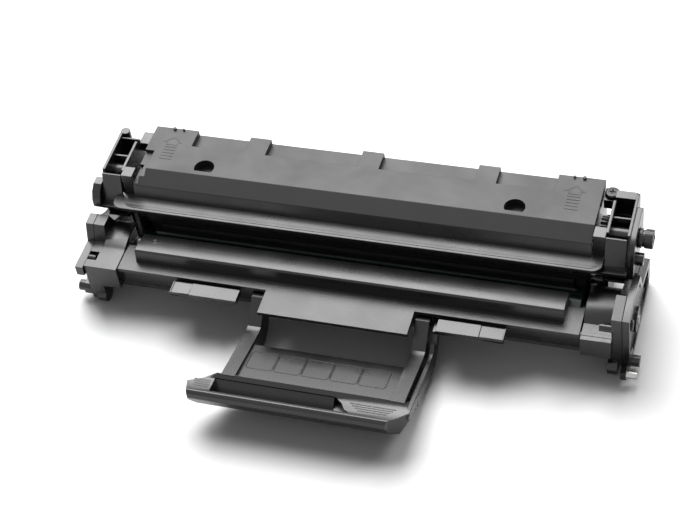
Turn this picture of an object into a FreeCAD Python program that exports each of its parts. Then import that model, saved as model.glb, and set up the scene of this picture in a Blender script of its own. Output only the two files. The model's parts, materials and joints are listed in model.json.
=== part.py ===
"""Toner cartridge: a waste and drum unit in front, a toner hopper behind it, and a carrying handle.

Every section is drawn in one pair of axes: y back from the cover plate's front edge, z up from the
plate's top face, x along the cartridge from its middle. Each sub-part is then placed in the model
frame by the same three sizes, plate_mid_x, plate_front_y and plate_top_z.
"""
import FreeCAD
import Part
import Sketcher
import math
import os

doc = FreeCAD.newDocument("cartridge")

SIZES = [
    ("plate_mid_x", -1.2), ("plate_front_y", -5.7), ("plate_top_z", 28.0),
    ("hopper_half", 119.5), ("plate_over", 0.5), ("plate_thick", 2.0), ("plate_back", 17.0),
    ("tongue_left", 38.9), ("tongue_right", 38.4), ("tongue_reach", 14.9),
    ("ridge_inset", 8.0), ("ridge_foot", 5.9), ("ridge_front", 7.2), ("ridge_height", 7.6),
    ("ridge_back", 21.0), ("ridge_back_height", 5.4), ("ridge_wall", 1.4),
    ("frame_wall_front", 2.0), ("frame_wall", 2.0), ("frame_bottom", 28.0), ("bin_back", 16.0),
    ("bin_inset", 6.5), ("bin_end_wall", 3.0),
    ("left_arm_gap", 12.8), ("left_arm_wide", 6.0), ("left_cap_thick", 4.2),
    ("right_arm_gap", 15.9), ("right_arm_wide", 4.9), ("right_cap_thick", 3.4), ("cap_gap", 0.3),
    ("drum_radius", 12.0), ("drum_y", 25.0), ("drum_z", 12.5), ("drum_inset", 2.5),
    ("charge_radius", 4.0), ("charge_y", 13.2), ("charge_z", 1.2), ("charge_inset", 14.5),
    ("charge_shaft", 2.0),
    ("developer_radius", 8.0), ("developer_shaft", 3.0), ("developer_inset", 9.5),
    ("supply_radius", 6.5), ("supply_shaft", 2.5), ("supply_inset", 11.5),
    ("agitator_shaft", 2.5), ("agitator_reach", 12.5),
    ("hopper_wall", 2.0), ("hopper_back", 78.0), ("hopper_front", 30.0),
    ("flange_over", 5.5), ("flange_top", 17.0), ("flange_thick", 2.0), ("flange_front", 28.0),
    ("flange_end_back", 39.0),
    ("tier_foot_y", 34.9), ("tier_y", 36.9), ("tier_z", 24.8),
    ("lid_front", 44.9), ("lid_front_z", 29.8), ("lid_back", 76.4), ("lid_back_z", 28.8),
    ("lid_wall", 2.0),
    ("module", 0.8), ("gear_gap", 2.1), ("gear_wide", 3.6), ("housing_wide", 10.4),
    ("handle_outer", 46.3), ("handle_inner", 39.3), ("handle_panel_thick", 2.0),
    ("coupling_reach", 3.5), ("shaft_over", 3.0), ("run_clear", 0.05),
]

sheet = doc.addObject("Spreadsheet::Sheet", "Sizes")
for row, (name, value) in enumerate(SIZES, 1):
    sheet.set("A%d" % row, name)
    sheet.set("B%d" % row, str(value))
    sheet.setAlias("B%d" % row, name)
doc.recompute()


class Size:
    """A length with the sheet expression that gives it."""

    def __init__(self, value, text=None):
        self.value = float(value)
        self.text = text if text else repr(float(value))
        self.bound = text is not None

    def _join(self, other, sign, value):
        other = size(other)
        result = Size(value, "(%s %s %s)" % (self.text, sign, other.text))
        result.bound = self.bound or other.bound
        return result

    def __add__(self, other):
        return self._join(other, "+", self.value + size(other).value)

    def __radd__(self, other):
        return size(other) + self

    def __sub__(self, other):
        return self._join(other, "-", self.value - size(other).value)

    def __rsub__(self, other):
        return size(other) - self

    def __mul__(self, other):
        return self._join(other, "*", self.value * size(other).value)

    def __rmul__(self, other):
        return size(other) * self

    def __neg__(self):
        return size(0) - self


def size(value):
    return value if isinstance(value, Size) else Size(value)


class Sizes:
    """Every named size of the sheet, as attributes."""


S = Sizes()
for name, value in SIZES:
    setattr(S, name, Size(value, "Sizes." + name))

# Places along the cartridge, all measured from the ends of the hopper

S.plate_half = S.hopper_half + S.plate_over
S.ridge_half = S.hopper_half - S.ridge_inset
S.bin_end = S.hopper_half - S.bin_inset
S.drum_half = S.hopper_half - S.drum_inset
S.charge_half = S.hopper_half - S.charge_inset
S.developer_half = S.hopper_half - S.developer_inset
S.supply_half = S.hopper_half - S.supply_inset
S.flange_half = S.hopper_half + S.flange_over
S.gear_inner = S.hopper_half + S.gear_gap
S.gear_outer = S.gear_inner + S.gear_wide
S.housing_inner = S.gear_outer + 0.4
S.housing_outer = S.housing_inner + S.housing_wide
S.shaft_end = S.hopper_half + S.shaft_over


def rect(low_a, low_b, high_a, high_b):
    return [(low_a, low_b), (high_a, low_b), (high_a, high_b), (low_a, high_b)]


def circle(centre_a, centre_b, radius):
    return ("circle", centre_a, centre_b, radius)


class Piece:
    """One moulded, turned or pressed piece, kept as a body and written to its own file."""

    plane_roles = {"YZ": "YZ_Plane", "XY": "XY_Plane", "XZ": "XZ_Plane"}
    made = []

    def __init__(self, label):
        self.label = label
        self.body = doc.addObject("PartDesign::Body", label)
        self.body.Label = label
        self.steps = 0
        self.mirror_x = False
        place_object(self.body)
        Piece.made.append((label, self.body))

    def next_name(self, kind):
        self.steps += 1
        return "%s_%s_%d" % (self.label, kind, self.steps)

    def pin(self, sketch, geo, pos, axis, value):
        value = size(value)
        kind = "DistanceX" if axis == 0 else "DistanceY"
        if abs(value.value) < 1e-9:
            sketch.addConstraint(Sketcher.Constraint("PointOnObject", geo, pos, -2 if axis == 0 else -1))
            return
        index = sketch.addConstraint(Sketcher.Constraint(kind, -1, 1, geo, pos, value.value))
        if value.bound:
            sketch.setExpression("Constraints[%d]" % index, value.text)

    def sketch(self, plane, loops, at):
        name = self.next_name("sketch")
        sketch = self.body.newObject("Sketcher::SketchObject", name)
        role = Piece.plane_roles[plane]
        datum = [f for f in self.body.Origin.OriginFeatures if f.Role == role][0]
        sketch.AttachmentSupport = [(datum, "")]
        sketch.MapMode = "FlatFace"
        at = size(at)
        sketch.AttachmentOffset = FreeCAD.Placement(FreeCAD.Vector(0, 0, at.value), FreeCAD.Rotation())
        if at.bound:
            sketch.setExpression("AttachmentOffset.Base.z", at.text)
        for loop in loops:
            if loop[0] == "circle":
                self.add_circle(sketch, loop)
            elif loop[0] == "dee":
                self.add_dee(sketch, loop)
            else:
                self.add_polygon(sketch, loop)
        return sketch

    def add_circle(self, sketch, loop):
        centre = FreeCAD.Vector(size(loop[1]).value, size(loop[2]).value, 0)
        radius = size(loop[3])
        geo = sketch.addGeometry(Part.Circle(centre, FreeCAD.Vector(0, 0, 1), radius.value))
        self.pin(sketch, geo, 3, 0, loop[1])
        self.pin(sketch, geo, 3, 1, loop[2])
        index = sketch.addConstraint(Sketcher.Constraint("Radius", geo, radius.value))
        if radius.bound:
            sketch.setExpression("Constraints[%d]" % index, radius.text)

    def add_dee(self, sketch, loop):
        """A circle cut off by a straight chord on its low side."""
        _, centre_a, centre_b, radius, chord = loop
        drop = size(chord).value - size(centre_b).value
        reach = math.sqrt(size(radius).value ** 2 - drop ** 2)
        start = math.atan2(drop, reach)
        centre = FreeCAD.Vector(size(centre_a).value, size(centre_b).value, 0)
        ring = Part.Circle(centre, FreeCAD.Vector(0, 0, 1), size(radius).value)
        arc = sketch.addGeometry(Part.ArcOfCircle(ring, start, math.pi - start))
        left = FreeCAD.Vector(centre.x - reach, centre.y + drop, 0)
        right = FreeCAD.Vector(centre.x + reach, centre.y + drop, 0)
        line = sketch.addGeometry(Part.LineSegment(left, right))
        sketch.addConstraint(Sketcher.Constraint("Coincident", arc, 2, line, 1))
        sketch.addConstraint(Sketcher.Constraint("Coincident", line, 2, arc, 1))
        sketch.addConstraint(Sketcher.Constraint("Horizontal", line))
        self.pin(sketch, arc, 3, 0, centre_a)
        self.pin(sketch, arc, 3, 1, centre_b)
        self.pin(sketch, line, 1, 1, chord)
        sketch.addConstraint(Sketcher.Constraint("Radius", arc, size(radius).value))

    def add_polygon(self, sketch, loop):
        points = [FreeCAD.Vector(size(a).value, size(b).value, 0) for a, b in loop]
        first = None
        for index, point in enumerate(points):
            geo = sketch.addGeometry(Part.LineSegment(point, points[(index + 1) % len(points)]))
            first = geo if first is None else first
        for index, (a, b) in enumerate(loop):
            here = first + index
            after = first + (index + 1) % len(loop)
            sketch.addConstraint(Sketcher.Constraint("Coincident", here, 2, after, 1))
            self.pin(sketch, here, 1, 0, a)
            self.pin(sketch, here, 1, 1, b)

    def extrude(self, kind, plane, loops, low, high):
        low, high = size(low), size(high)
        if self.mirror_x and plane == "YZ":
            low, high = -high, -low
        elif self.mirror_x:
            loops = [mirrored(loop) for loop in loops]
        outward = kind == "Pad"
        if plane == "XZ":
            at = -high if outward else -low
        else:
            at = low if outward else high
        profile = self.sketch(plane, loops, at)
        feature = self.body.newObject("PartDesign::" + kind, self.next_name(kind.lower()))
        feature.Profile = profile
        span = high - low
        feature.Length = span.value
        if span.bound:
            feature.setExpression("Length", span.text)
        doc.recompute()
        return feature

    def pad(self, plane, loops, low, high):
        return self.extrude("Pad", plane, loops, low, high)

    def cut(self, plane, loops, low, high):
        before = self.body.Shape.Volume
        feature = self.extrude("Pocket", plane, loops, low, high)
        if self.body.Shape.Volume > before - 1e-4:
            raise ValueError("%s removes nothing" % feature.Name)
        return feature

    def both(self, kind, plane, loops, low, high):
        """The same step on both ends of the cartridge."""
        keep = self.mirror_x
        for side in (False, True):
            self.mirror_x = side
            getattr(self, kind)(plane, loops, low, high)
        self.mirror_x = keep

    def round(self, radius, chosen, kind="Fillet"):
        """Rounds or chamfers the edges that the rule picks."""
        tip = self.body.Tip
        names = []
        for index, edge in enumerate(tip.Shape.Edges, 1):
            box = edge.BoundBox
            if edge.Length > 0.2 and chosen(edge, box):
                names.append("Edge%d" % index)
        if not names:
            raise ValueError("no edge to round on %s" % self.label)
        feature = self.body.newObject("PartDesign::" + kind, self.next_name(kind.lower()))
        feature.Base = (tip, names)
        if kind == "Fillet":
            feature.Radius = radius
        else:
            feature.Size = radius
        doc.recompute()
        if "Invalid" in feature.State or feature.Shape.isNull() or not feature.Shape.isValid():
            raise ValueError("rounding failed on %s: %d edges" % (self.label, len(names)))
        return feature


def mirrored(loop):
    if loop[0] == "circle":
        return ("circle", -size(loop[1]), loop[2], loop[3])
    return [(-size(a), b) for a, b in reversed(loop)]


def place_object(obj):
    obj.Placement = FreeCAD.Placement(
        FreeCAD.Vector(S.plate_mid_x.value, S.plate_front_y.value, S.plate_top_z.value),
        FreeCAD.Rotation())
    obj.setExpression("Placement.Base.x", S.plate_mid_x.text)
    obj.setExpression("Placement.Base.y", S.plate_front_y.text)
    obj.setExpression("Placement.Base.z", S.plate_top_z.text)


def add_shape(label, shape):
    """A piece whose outline is a formula, such as a gear or a spring."""
    obj = doc.addObject("Part::Feature", label)
    obj.Label = label
    obj.Shape = shape
    place_object(obj)
    Piece.made.append((label, obj))
    return obj


def rod(low_x, high_x, y, z, radius):
    return Part.makeCylinder(radius, high_x - low_x, FreeCAD.Vector(low_x, y, z), FreeCAD.Vector(1, 0, 0))


def joined(shapes):
    result = shapes[0]
    for shape in shapes[1:]:
        result = result.fuse(shape)
    return result.removeSplitter()


# Axes of the rollers and gears, each placed by its gear pair

MODULE = S.module.value
TEETH = {"drum": 32, "developer": 19, "supply": 18, "idler": 20, "coupling": 20, "agitator": 22}
RUN = S.run_clear.value


def pitch(name):
    return MODULE * TEETH[name] / 2.0


def step_from(point, distance, degrees):
    angle = math.radians(degrees)
    return (point[0] + distance * math.cos(angle), point[1] + distance * math.sin(angle))


def meeting(first, first_reach, second, second_reach):
    """The point at the two given distances, on the left of the line from first to second."""
    span_y, span_z = second[0] - first[0], second[1] - first[1]
    span = math.hypot(span_y, span_z)
    along = (first_reach ** 2 - second_reach ** 2 + span ** 2) / (2 * span)
    aside = math.sqrt(first_reach ** 2 - along ** 2)
    unit_y, unit_z = span_y / span, span_z / span
    return (first[0] + unit_y * along - unit_z * aside, first[1] + unit_z * along + unit_y * aside)


AXES = {"drum": (S.drum_y.value, -S.drum_z.value), "coupling": (49.5, 19.5)}
AXES["developer"] = step_from(AXES["drum"], pitch("drum") + pitch("developer"), 8.0)
AXES["supply"] = step_from(AXES["developer"], pitch("developer") + pitch("supply"), -12.0)
AXES["agitator"] = step_from(AXES["coupling"], pitch("coupling") + pitch("agitator"), -48.0)
AXES["idler"] = meeting(AXES["developer"], pitch("developer") + pitch("idler"),
                        AXES["coupling"], pitch("coupling") + pitch("idler"))
AXES["charge"] = (S.charge_y.value, -S.charge_z.value)

PHASE = {"coupling": 0.0}


def mesh_phase(leader, follower):
    """Turns the follower so that its tooth gap faces the leader's tooth."""
    (y1, z1), (y2, z2) = AXES[leader], AXES[follower]
    line = math.atan2(z2 - z1, y2 - y1)
    r1, r2 = pitch(leader), pitch(follower)
    PHASE[follower] = line + math.pi - (r1 * (PHASE[leader] - line) + math.pi * MODULE / 2) / r2


for leader, follower in (("coupling", "idler"), ("idler", "developer"), ("developer", "drum"),
                         ("developer", "supply"), ("coupling", "agitator")):
    mesh_phase(leader, follower)


def gear_shape(name, low_x, high_x, backlash=0.14):
    """A spur gear with involute flanks, standing on its axis."""
    teeth = TEETH[name]
    radius = pitch(name)
    base = radius * math.cos(math.radians(20))
    tip = radius + 0.9 * MODULE
    root = radius - 1.2 * MODULE
    half_tooth = (math.pi * MODULE / 2 - backlash) / 2 / radius
    roll = math.tan(math.radians(20)) - math.radians(20)
    y0, z0 = AXES[name]

    def at(r, angle):
        return FreeCAD.Vector(low_x, y0 + r * math.cos(angle), z0 + r * math.sin(angle))

    def flank(side, centre):
        points = []
        for step in range(6):
            r = base + (tip - base) * step / 5.0 if base > root else root + (tip - root) * step / 5.0
            turn = math.sqrt(max((r / base) ** 2 - 1, 0))
            opened = turn - math.atan(turn)
            points.append(at(r, centre + side * (half_tooth + roll - opened)))
        return points

    edges = []
    for index in range(teeth):
        centre = PHASE[name] + index * 2 * math.pi / teeth
        after = centre + 2 * math.pi / teeth
        low = flank(-1, centre)
        high = flank(1, centre)
        next_low = flank(-1, after)
        if base > root:
            low_root = at(root, centre - half_tooth - roll)
            high_root = at(root, centre + half_tooth + roll)
            next_root = at(root, after - half_tooth - roll)
            edges.append(Part.makeLine(low_root, low[0]))
        else:
            high_root, next_root = high[0], next_low[0]
        edges.append(curve(low))
        edges.append(Part.Arc(low[-1], at(tip, centre), high[-1]).toShape())
        edges.append(curve(list(reversed(high))))
        if base > root:
            edges.append(Part.makeLine(high[0], high_root))
        edges.append(Part.Arc(high_root, at(root, centre + math.pi / teeth), next_root).toShape())
    face = Part.Face(Part.Wire(edges))
    return face.extrude(FreeCAD.Vector(high_x - low_x, 0, 0))


def curve(points):
    line = Part.BSplineCurve()
    line.interpolate(points)
    return line.toShape()


# Cover plate with the hollow ridge over the charge roller and the tongue above the handle

cover = Piece("waste_cover")
cover.pad("XY", [[
    (-S.plate_half, 0), (-S.tongue_left, 0), (-S.tongue_left, -S.tongue_reach),
    (S.tongue_right, -S.tongue_reach), (S.tongue_right, 0), (S.plate_half, 0),
    (S.plate_half, S.plate_back), (S.ridge_half, S.plate_back), (S.ridge_half, S.ridge_foot + 1),
    (-S.ridge_half, S.ridge_foot + 1), (-S.ridge_half, S.plate_back), (-S.plate_half, S.plate_back),
]], -S.plate_thick, 0)
cover.pad("YZ", [[
    (S.ridge_foot, -S.plate_thick), (S.ridge_foot, 0), (S.ridge_front, S.ridge_height),
    (S.ridge_back, S.ridge_back_height), (S.ridge_back + 1.2, S.ridge_back_height - 1.8),
    (S.ridge_back - 0.1, S.ridge_back_height - 2.0),
    (S.ridge_back - 0.7, S.ridge_back_height - S.ridge_wall),
    (S.ridge_front + S.ridge_wall, S.ridge_height - S.ridge_wall - 0.2),
    (S.ridge_foot + S.ridge_wall, 0), (S.ridge_foot + S.ridge_wall, -S.plate_thick),
]], -S.ridge_half, S.ridge_half)
cover.both("pad", "YZ", [[
    (S.ridge_foot, -S.plate_thick), (S.ridge_foot, 0), (S.ridge_front, S.ridge_height),
    (S.ridge_back, S.ridge_back_height), (S.ridge_back + 1.2, S.ridge_back_height - 1.8),
    (S.ridge_back - 0.5, 0.2), (S.plate_back, -S.plate_thick),
]], S.ridge_half - S.ridge_wall, S.ridge_half)
cover.cut("XY", [circle(8 - S.ridge_half, 15.2, 1.5)], 5.7, S.ridge_height)
cover.round(1.0, lambda edge, box: box.XLength > 200 and abs(box.Center.z - S.ridge_height.value) < 0.2
            and abs(box.Center.y - S.ridge_front.value) < 0.2)

# Waste frame: toner bin in front of the drum, side arms, ledges and the two guide trays

class End:
    """One end of the cartridge: where its arm and cap stand along x, and their outlines."""

    def __init__(self, on_left, gap, arm_wide, cap_thick):
        self.on_left = on_left
        self.arm_inner = S.hopper_half + gap
        self.arm_outer = self.arm_inner + arm_wide
        self.cap_inner = self.arm_outer + S.cap_gap
        self.cap_outer = self.cap_inner + cap_thick


RIGHT = End(False, S.right_arm_gap, S.right_arm_wide, S.right_cap_thick)
LEFT = End(True, S.left_arm_gap, S.left_arm_wide, S.left_cap_thick)
LINK = (53.0, -15.5)
arm_back = [(40, -3), (62, -9), (64, -12), (64, -25), (60, -S.frame_bottom), (9, -S.frame_bottom)]
hollow_back = [(39.2, -6), (60, -12), (60, -24), (11, -25)]

# The right arm stands high in front; the left one is low there and rises in one step
RIGHT.arm = [(3.0, -22.5), (0.2, 14.3), (14.5, 16.3), (17, 8)] + arm_back + [(5.5, -26)]
RIGHT.hollow = [(5.0, -21), (2.4, 4), (13.2, 6), (16.6, 4.2)] + hollow_back
RIGHT.cap = [(3.0, -22.5), (0.2, 14.3), (14.5, 16.3), (33, 11), (36.5, 2)] + arm_back + [(5.5, -26)]
RIGHT.recess = [(5.0, -15), (2.4, 10.5), (14, 12.5), (31.5, 8), (34.5, 0.5), (39.5, -5.5), (58, -11.5),
                (58, -23.5), (14, -24), (11, -17)]
LEFT.arm = [(-1.6, -24.4), (-1.6, 0.4), (15.6, 0.4), (18.8, 10.2), (26, 10.4), (29.5, 3)] + arm_back
LEFT.arm += [(5, -25.5)]
LEFT.hollow = [(0.4, -21), (0.4, -2.4), (17, -2.4), (20.4, 7), (24.6, 7), (28, 0)] + hollow_back
LEFT.cap = [(-2.9, -5.9), (-2.9, 0.1), (15.6, 0.1), (18.8, 10.2), (26, 10.4), (29.5, 3)] + arm_back
LEFT.cap += [(6.5, -26.5), (6.5, -24.2), (0.6, -24.2), (-1.2, -22.4), (-1.2, -18.6), (0.6, -16.8),
             (7.5, -16.8), (7.5, -9), (2.5, -6.8)]
LEFT.recess = [(9.5, -20), (9.5, -4), (17, -3), (20.2, 6.6), (24.8, 6.8), (28.4, 0.5), (39.5, -5.5),
               (58, -11.5), (58, -23.5), (14, -24)]

frame = Piece("waste_frame")
wall_back = S.frame_wall_front + S.frame_wall
frame.pad("YZ", [[
    (S.frame_wall_front, -S.plate_thick), (S.frame_wall_front, -12), (12.5, -S.frame_bottom),
    (S.bin_back, -S.frame_bottom), (S.bin_back, -23.2), (S.bin_back - 1.6, -23.2),
    (S.bin_back - 1.6, -25.8), (13.6, -25.8), (wall_back, -11.5), (wall_back, -9.5),
    (wall_back + 4.2, -9.5), (wall_back + 4.2, -7.5), (wall_back, -7.5), (wall_back, -S.plate_thick),
]], -LEFT.arm_inner, RIGHT.arm_inner)
frame.both("pad", "YZ", [[
    (S.frame_wall_front, -S.plate_thick), (S.frame_wall_front, -12), (12.5, -S.frame_bottom),
    (S.bin_back, -S.frame_bottom), (S.bin_back, -23.2), (12.2, -18), (11.6, -12), (12.4, -6),
    (13.5, -S.plate_thick),
]], S.bin_end, S.bin_end + S.bin_end_wall)
gear_guard = [(13.0, 1.2), (18.5, 2.7), (25, 2.9), (29.2, 2.4), (31.2, 1.5), (30.9, 0.3), (29.0, 1.3),
              (25, 1.8), (18.8, 1.6), (13.4, 0.0)]
ledge_start = S.plate_half + 0.4
for end in (RIGHT, LEFT):
    frame.mirror_x = end.on_left
    frame.pad("YZ", [end.arm], end.arm_inner, end.arm_outer)
    frame.cut("YZ", [end.hollow], end.arm_inner + 2, end.arm_outer)
    frame.cut("YZ", [circle(S.drum_y, -S.drum_z, 4.6), circle(*LINK, 2.0)], end.arm_inner, end.arm_outer)
    frame.pad("YZ", [rect(41, -6, 47, -3.9)], end.arm_inner - 3, end.arm_outer)
    frame.pad("YZ", [circle(3.2 if end is RIGHT else 1.6, -23.6, 4.3)], end.arm_inner - 1.8, end.arm_inner + 3)
frame.mirror_x = False
frame.pad("YZ", [[(-0.6, -14), (-0.6, -4), (-0.6, -2.2), (9.5, -2.2)] + gear_guard + [
    (10.2, -3.4), (wall_back, -4), (wall_back, -14)]], ledge_start, RIGHT.arm_inner)
frame.pad("YZ", [circle(2.6, 5.0, 1.9)], RIGHT.arm_inner - 6, RIGHT.arm_inner + 2)
frame.mirror_x = True
frame.pad("YZ", [[(-1.6, -14), (-1.6, 0.4), (10.8, 0.4)] + gear_guard + [
    (10.6, -1.6), (wall_back, -1.8), (wall_back, -14)]], ledge_start, LEFT.arm_inner)
frame.pad("YZ", [rect(10.0, -1.4, 15.6, 0.4)], LEFT.arm_inner - 1.2, LEFT.arm_inner)
frame.pad("YZ", [[(-1.6, -3), (3.5, -3), (4.6, -20), (-1.4, -21)]], LEFT.arm_inner - 1.8, LEFT.arm_inner + 1)
frame.cut("XY", [rect(LEFT.arm_inner + 0.9, 3.2, LEFT.arm_outer, 8.8)], -4.5, 0.4)
frame.mirror_x = False

TRAYS = [(-88.5, -54.5, -88.5 + 12.0), (49.0, 84.0, 84.0 - 12.0)]
for low_x, high_x, split in TRAYS:
    frame.pad("XY", [rect(low_x, -7.2, high_x, S.frame_wall_front + 0.5)], -6.4, -4.6)
for low_x, high_x, split in TRAYS:
    side = (low_x + 1.2, split) if split < 0 else (split, high_x - 1.2)
    frame.cut("XY", [rect(side[0], -6.2, side[1], S.frame_wall_front - 0.4)], -5.6, -4.6)

# Carrying handle: two arms with raised rims, a sunk panel and a scooped grip

handle = Piece("handle")
seat = S.frame_wall_front - 0.02
arm_profile = [
    (seat, -3.2), (-2.5, -3.4), (-4.5, -5.2), (-13.8, -13.2), (-17.5, -13.4), (-52, -4.6),
    (-54, -8), (-50, -16), (-40, -19), (-20, -25.5), (-12, -26.2), (-4.5, -22), (seat, -11.6),
]
handle.pad("YZ", [arm_profile], S.handle_inner, S.handle_outer)
handle.mirror_x = True
handle.pad("YZ", [arm_profile], S.handle_inner, S.handle_outer)
handle.mirror_x = False
handle.pad("YZ", [[
    (seat, -8), (seat, -10.5), (-3.4, -12.5), (-8.5, -18.5), (-14, -20.3), (-23.3, -18.2), (-38, -13.0),
    (-53.4, -8.0), (-56.5, -7.6), (-57, -11), (-54, -14), (-40, -18.2), (-20, -24.6), (-12, -25.4),
    (-5.5, -21.6), (seat, -13.6),
]], S.handle_outer - 0.5, S.handle_outer + 3.7)
handle.pad("YZ", [[(-25, -15.2), (-25, -13.2), (-52.5, -6.6), (-54, -9.5), (-50, -9.6)]],
           -S.handle_inner - 0.5, S.handle_inner + 0.5)
handle.pad("YZ", [[
    (-51.5, -4.7), (-54.6, -6.2), (-61.2, -5.2), (-64.4, -4.0), (-66.2, -5.0), (-66.6, -8.0),
    (-64.2, -14.5), (-58.5, -20.3), (-51, -21.8), (-46, -19.5), (-49, -9),
]], -62, 50)
handle.cut("XY", [[(-63, -67), (-63, -45), (-62, -58.5), (-59.5, -67)],
                  [(-63, -44), (-62, -58), (-47.2, -51), (-46.3, -44)],
                  [(51, -44), (46.3, -44), (46.6, -51.2), (50, -56.5), (41, -64.6), (40, -67.5), (51, -67.5)]],
           -23, -3)
handle.cut("XZ", [[(-63, -9), (-62, -9.5), (-47.5, -22.5), (-63, -22.5)],
                  [(51, -10), (50, -10.5), (42, -22.5), (51, -22.5)]], -67, -45)
handle.cut("YZ", [[(-53.9, -3), (-53.9, -6.6), (-60.2, -12.4), (-62.4, -12.4), (-62.9, -3)]], -49, 12.5)
handle.cut("XY", [[(12, -53.9), (13.5, -54.4), (16.5, -57.0), (19.0, -60.8), (22, -62.7), (12, -62.7)]],
           -10.6, -3)
handle.round(1.2, lambda edge, box: box.XLength > 60 and box.Center.y < -63.5 and box.Center.z > -9)

# Toner hopper: walls, floor and ends, with the studs for two gears

hopper = Piece("hopper_body")
flange_under = S.flange_top - S.flange_thick
hopper.pad("YZ", [[
    (S.hopper_front, flange_under), (S.hopper_front, 9), (31.4, 8.6), (31.4, 4.4), (36.4, 4.4),
    (36.4, flange_under),
]], -S.bin_end, S.bin_end)
hopper.pad("YZ", [[
    (38, -20.5), (38, -S.frame_bottom), (S.hopper_back, -S.frame_bottom), (S.hopper_back, flange_under),
    (76, flange_under), (76, -2), (67.5, -22), (64, -25.8), (40, -25.8), (40, -20.5),
]], -S.hopper_half, S.hopper_half)
hopper.both("pad", "YZ", [rect(33, 4.4, 36.4, flange_under)], S.bin_end - 0.5, S.hopper_half)
hopper.both("pad", "YZ", [[
    (33, flange_under), (33, -24), (38, -S.frame_bottom), (S.hopper_back, -S.frame_bottom),
    (S.hopper_back, flange_under),
]], S.hopper_half - S.hopper_wall, S.hopper_half)
hopper.cut("YZ", [rect(33.2, 6.4, 34.6, flange_under)], 1 - S.bin_end, S.bin_end - 1)
hopper.both("cut", "YZ", [
    circle(*AXES["developer"], 4.5), circle(*AXES["supply"], 4.0), circle(*AXES["agitator"], 4.0),
], S.hopper_half - S.hopper_wall, S.hopper_half)
hopper.cut("YZ", [circle(69.5, -1, 6.2)], -S.hopper_half, S.hopper_wall - S.hopper_half)
hopper.pad("YZ", [circle(*AXES["idler"], 2.0)], S.hopper_half, S.gear_outer)
hopper.pad("YZ", [circle(AXES["coupling"][0], AXES["coupling"][1] - 7.5, 2.0)], S.hopper_half - 1,
           S.hopper_half)
hopper.pad("YZ", [rect(43, 12, 56, flange_under)], S.hopper_half - S.hopper_wall, S.hopper_half)

# Hopper lid: flange, two tiers, dee pockets, three tabs with sunk strips between them

lid = Piece("hopper_lid")
lid.pad("XY", [[
    (-S.flange_half, S.flange_front), (S.flange_half, S.flange_front),
    (S.flange_half, S.flange_end_back), (S.hopper_half, S.flange_end_back),
    (S.hopper_half, S.hopper_back), (-S.hopper_half, S.hopper_back),
    (-S.hopper_half, S.flange_end_back), (-S.flange_half, S.flange_end_back),
]], flange_under, S.flange_top)
lid.round(6.0, lambda edge, box: box.XLength < 0.01 and box.YLength < 0.01
          and abs(box.Center.y - S.flange_front.value) < 0.1)
lid.pad("YZ", [[
    (S.tier_foot_y, flange_under), (S.tier_foot_y, S.flange_top), (S.tier_y, S.tier_z),
    (S.lid_front, S.lid_front_z), (S.lid_back, S.lid_back_z), (S.lid_back + 0.6, flange_under),
]], -S.hopper_half, S.hopper_half)
lid.cut("YZ", [[
    (S.tier_foot_y + 1.9, flange_under), (S.tier_foot_y + 2.2, S.flange_top), (S.tier_y + 1.9, S.tier_z - 1.5),
    (S.lid_front + 0.6, S.lid_front_z - S.lid_wall), (S.lid_back - S.lid_wall, S.lid_back_z - S.lid_wall),
    (S.lid_back - 1.6, flange_under),
]], S.lid_wall - S.hopper_half, S.hopper_half - S.lid_wall)
TABS = [(-66.8, -55.5), (-5.7, 5.5), (55.4, 66.3)]
strip_edges = [23.5 - S.hopper_half] + [edge for tab in TABS for edge in tab] + [S.hopper_half - 23.5]
strips = list(zip(strip_edges[0::2], strip_edges[1::2]))
for low_x, high_x in strips:
    lid.pad("XY", [rect(low_x - 1.5, 62.6, high_x + 1.5, S.lid_back - 0.3)], 23.4, 27.0)
    lid.cut("XY", [rect(low_x, 64.6, high_x, S.lid_back + 3)], 25.6, 31)
DEES = [35.5 - S.hopper_half, S.hopper_half - 40.5]
for x in DEES:
    lid.pad("XY", [circle(x, 50.3, 7.0)], 22.6, 28.0)
for x in DEES:
    lid.cut("XY", [("dee", x, 50.3, 5.3, 47.4)], 24.4, 31)
step_edge = 5.1 - S.hopper_half
lid.pad("XY", [rect(0.5 - S.hopper_half, 44.5, step_edge + 2, 60)], 22.5, 27.6)
lid.pad("XY", [rect(0.5 - S.hopper_half, 38.5, step_edge, 50)], 21, 25.6)
lid.cut("XY", [rect(-S.hopper_half - 1, 40, step_edge, 58.1)], 27.4, 31)
lid.cut("XY", [rect(-S.hopper_half - 1, 34, 2.3 - S.hopper_half, 49)], 25.2, 31)
nubs = [circle(S.hopper_half - 10.5, S.lid_back - 1, 0.9), circle(S.hopper_half - 15.5, S.lid_back - 1, 0.6)]
lid.both("pad", "XY", nubs,
         S.lid_back_z - 1, S.lid_back_z + 1.1)
lid.round(0.8, lambda edge, box: box.XLength > 200 and abs(box.Center.z - S.lid_front_z.value) < 0.3)

# Side housings of the hopper: an inner plate over the gears, an outer plate and the walls between


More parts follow.
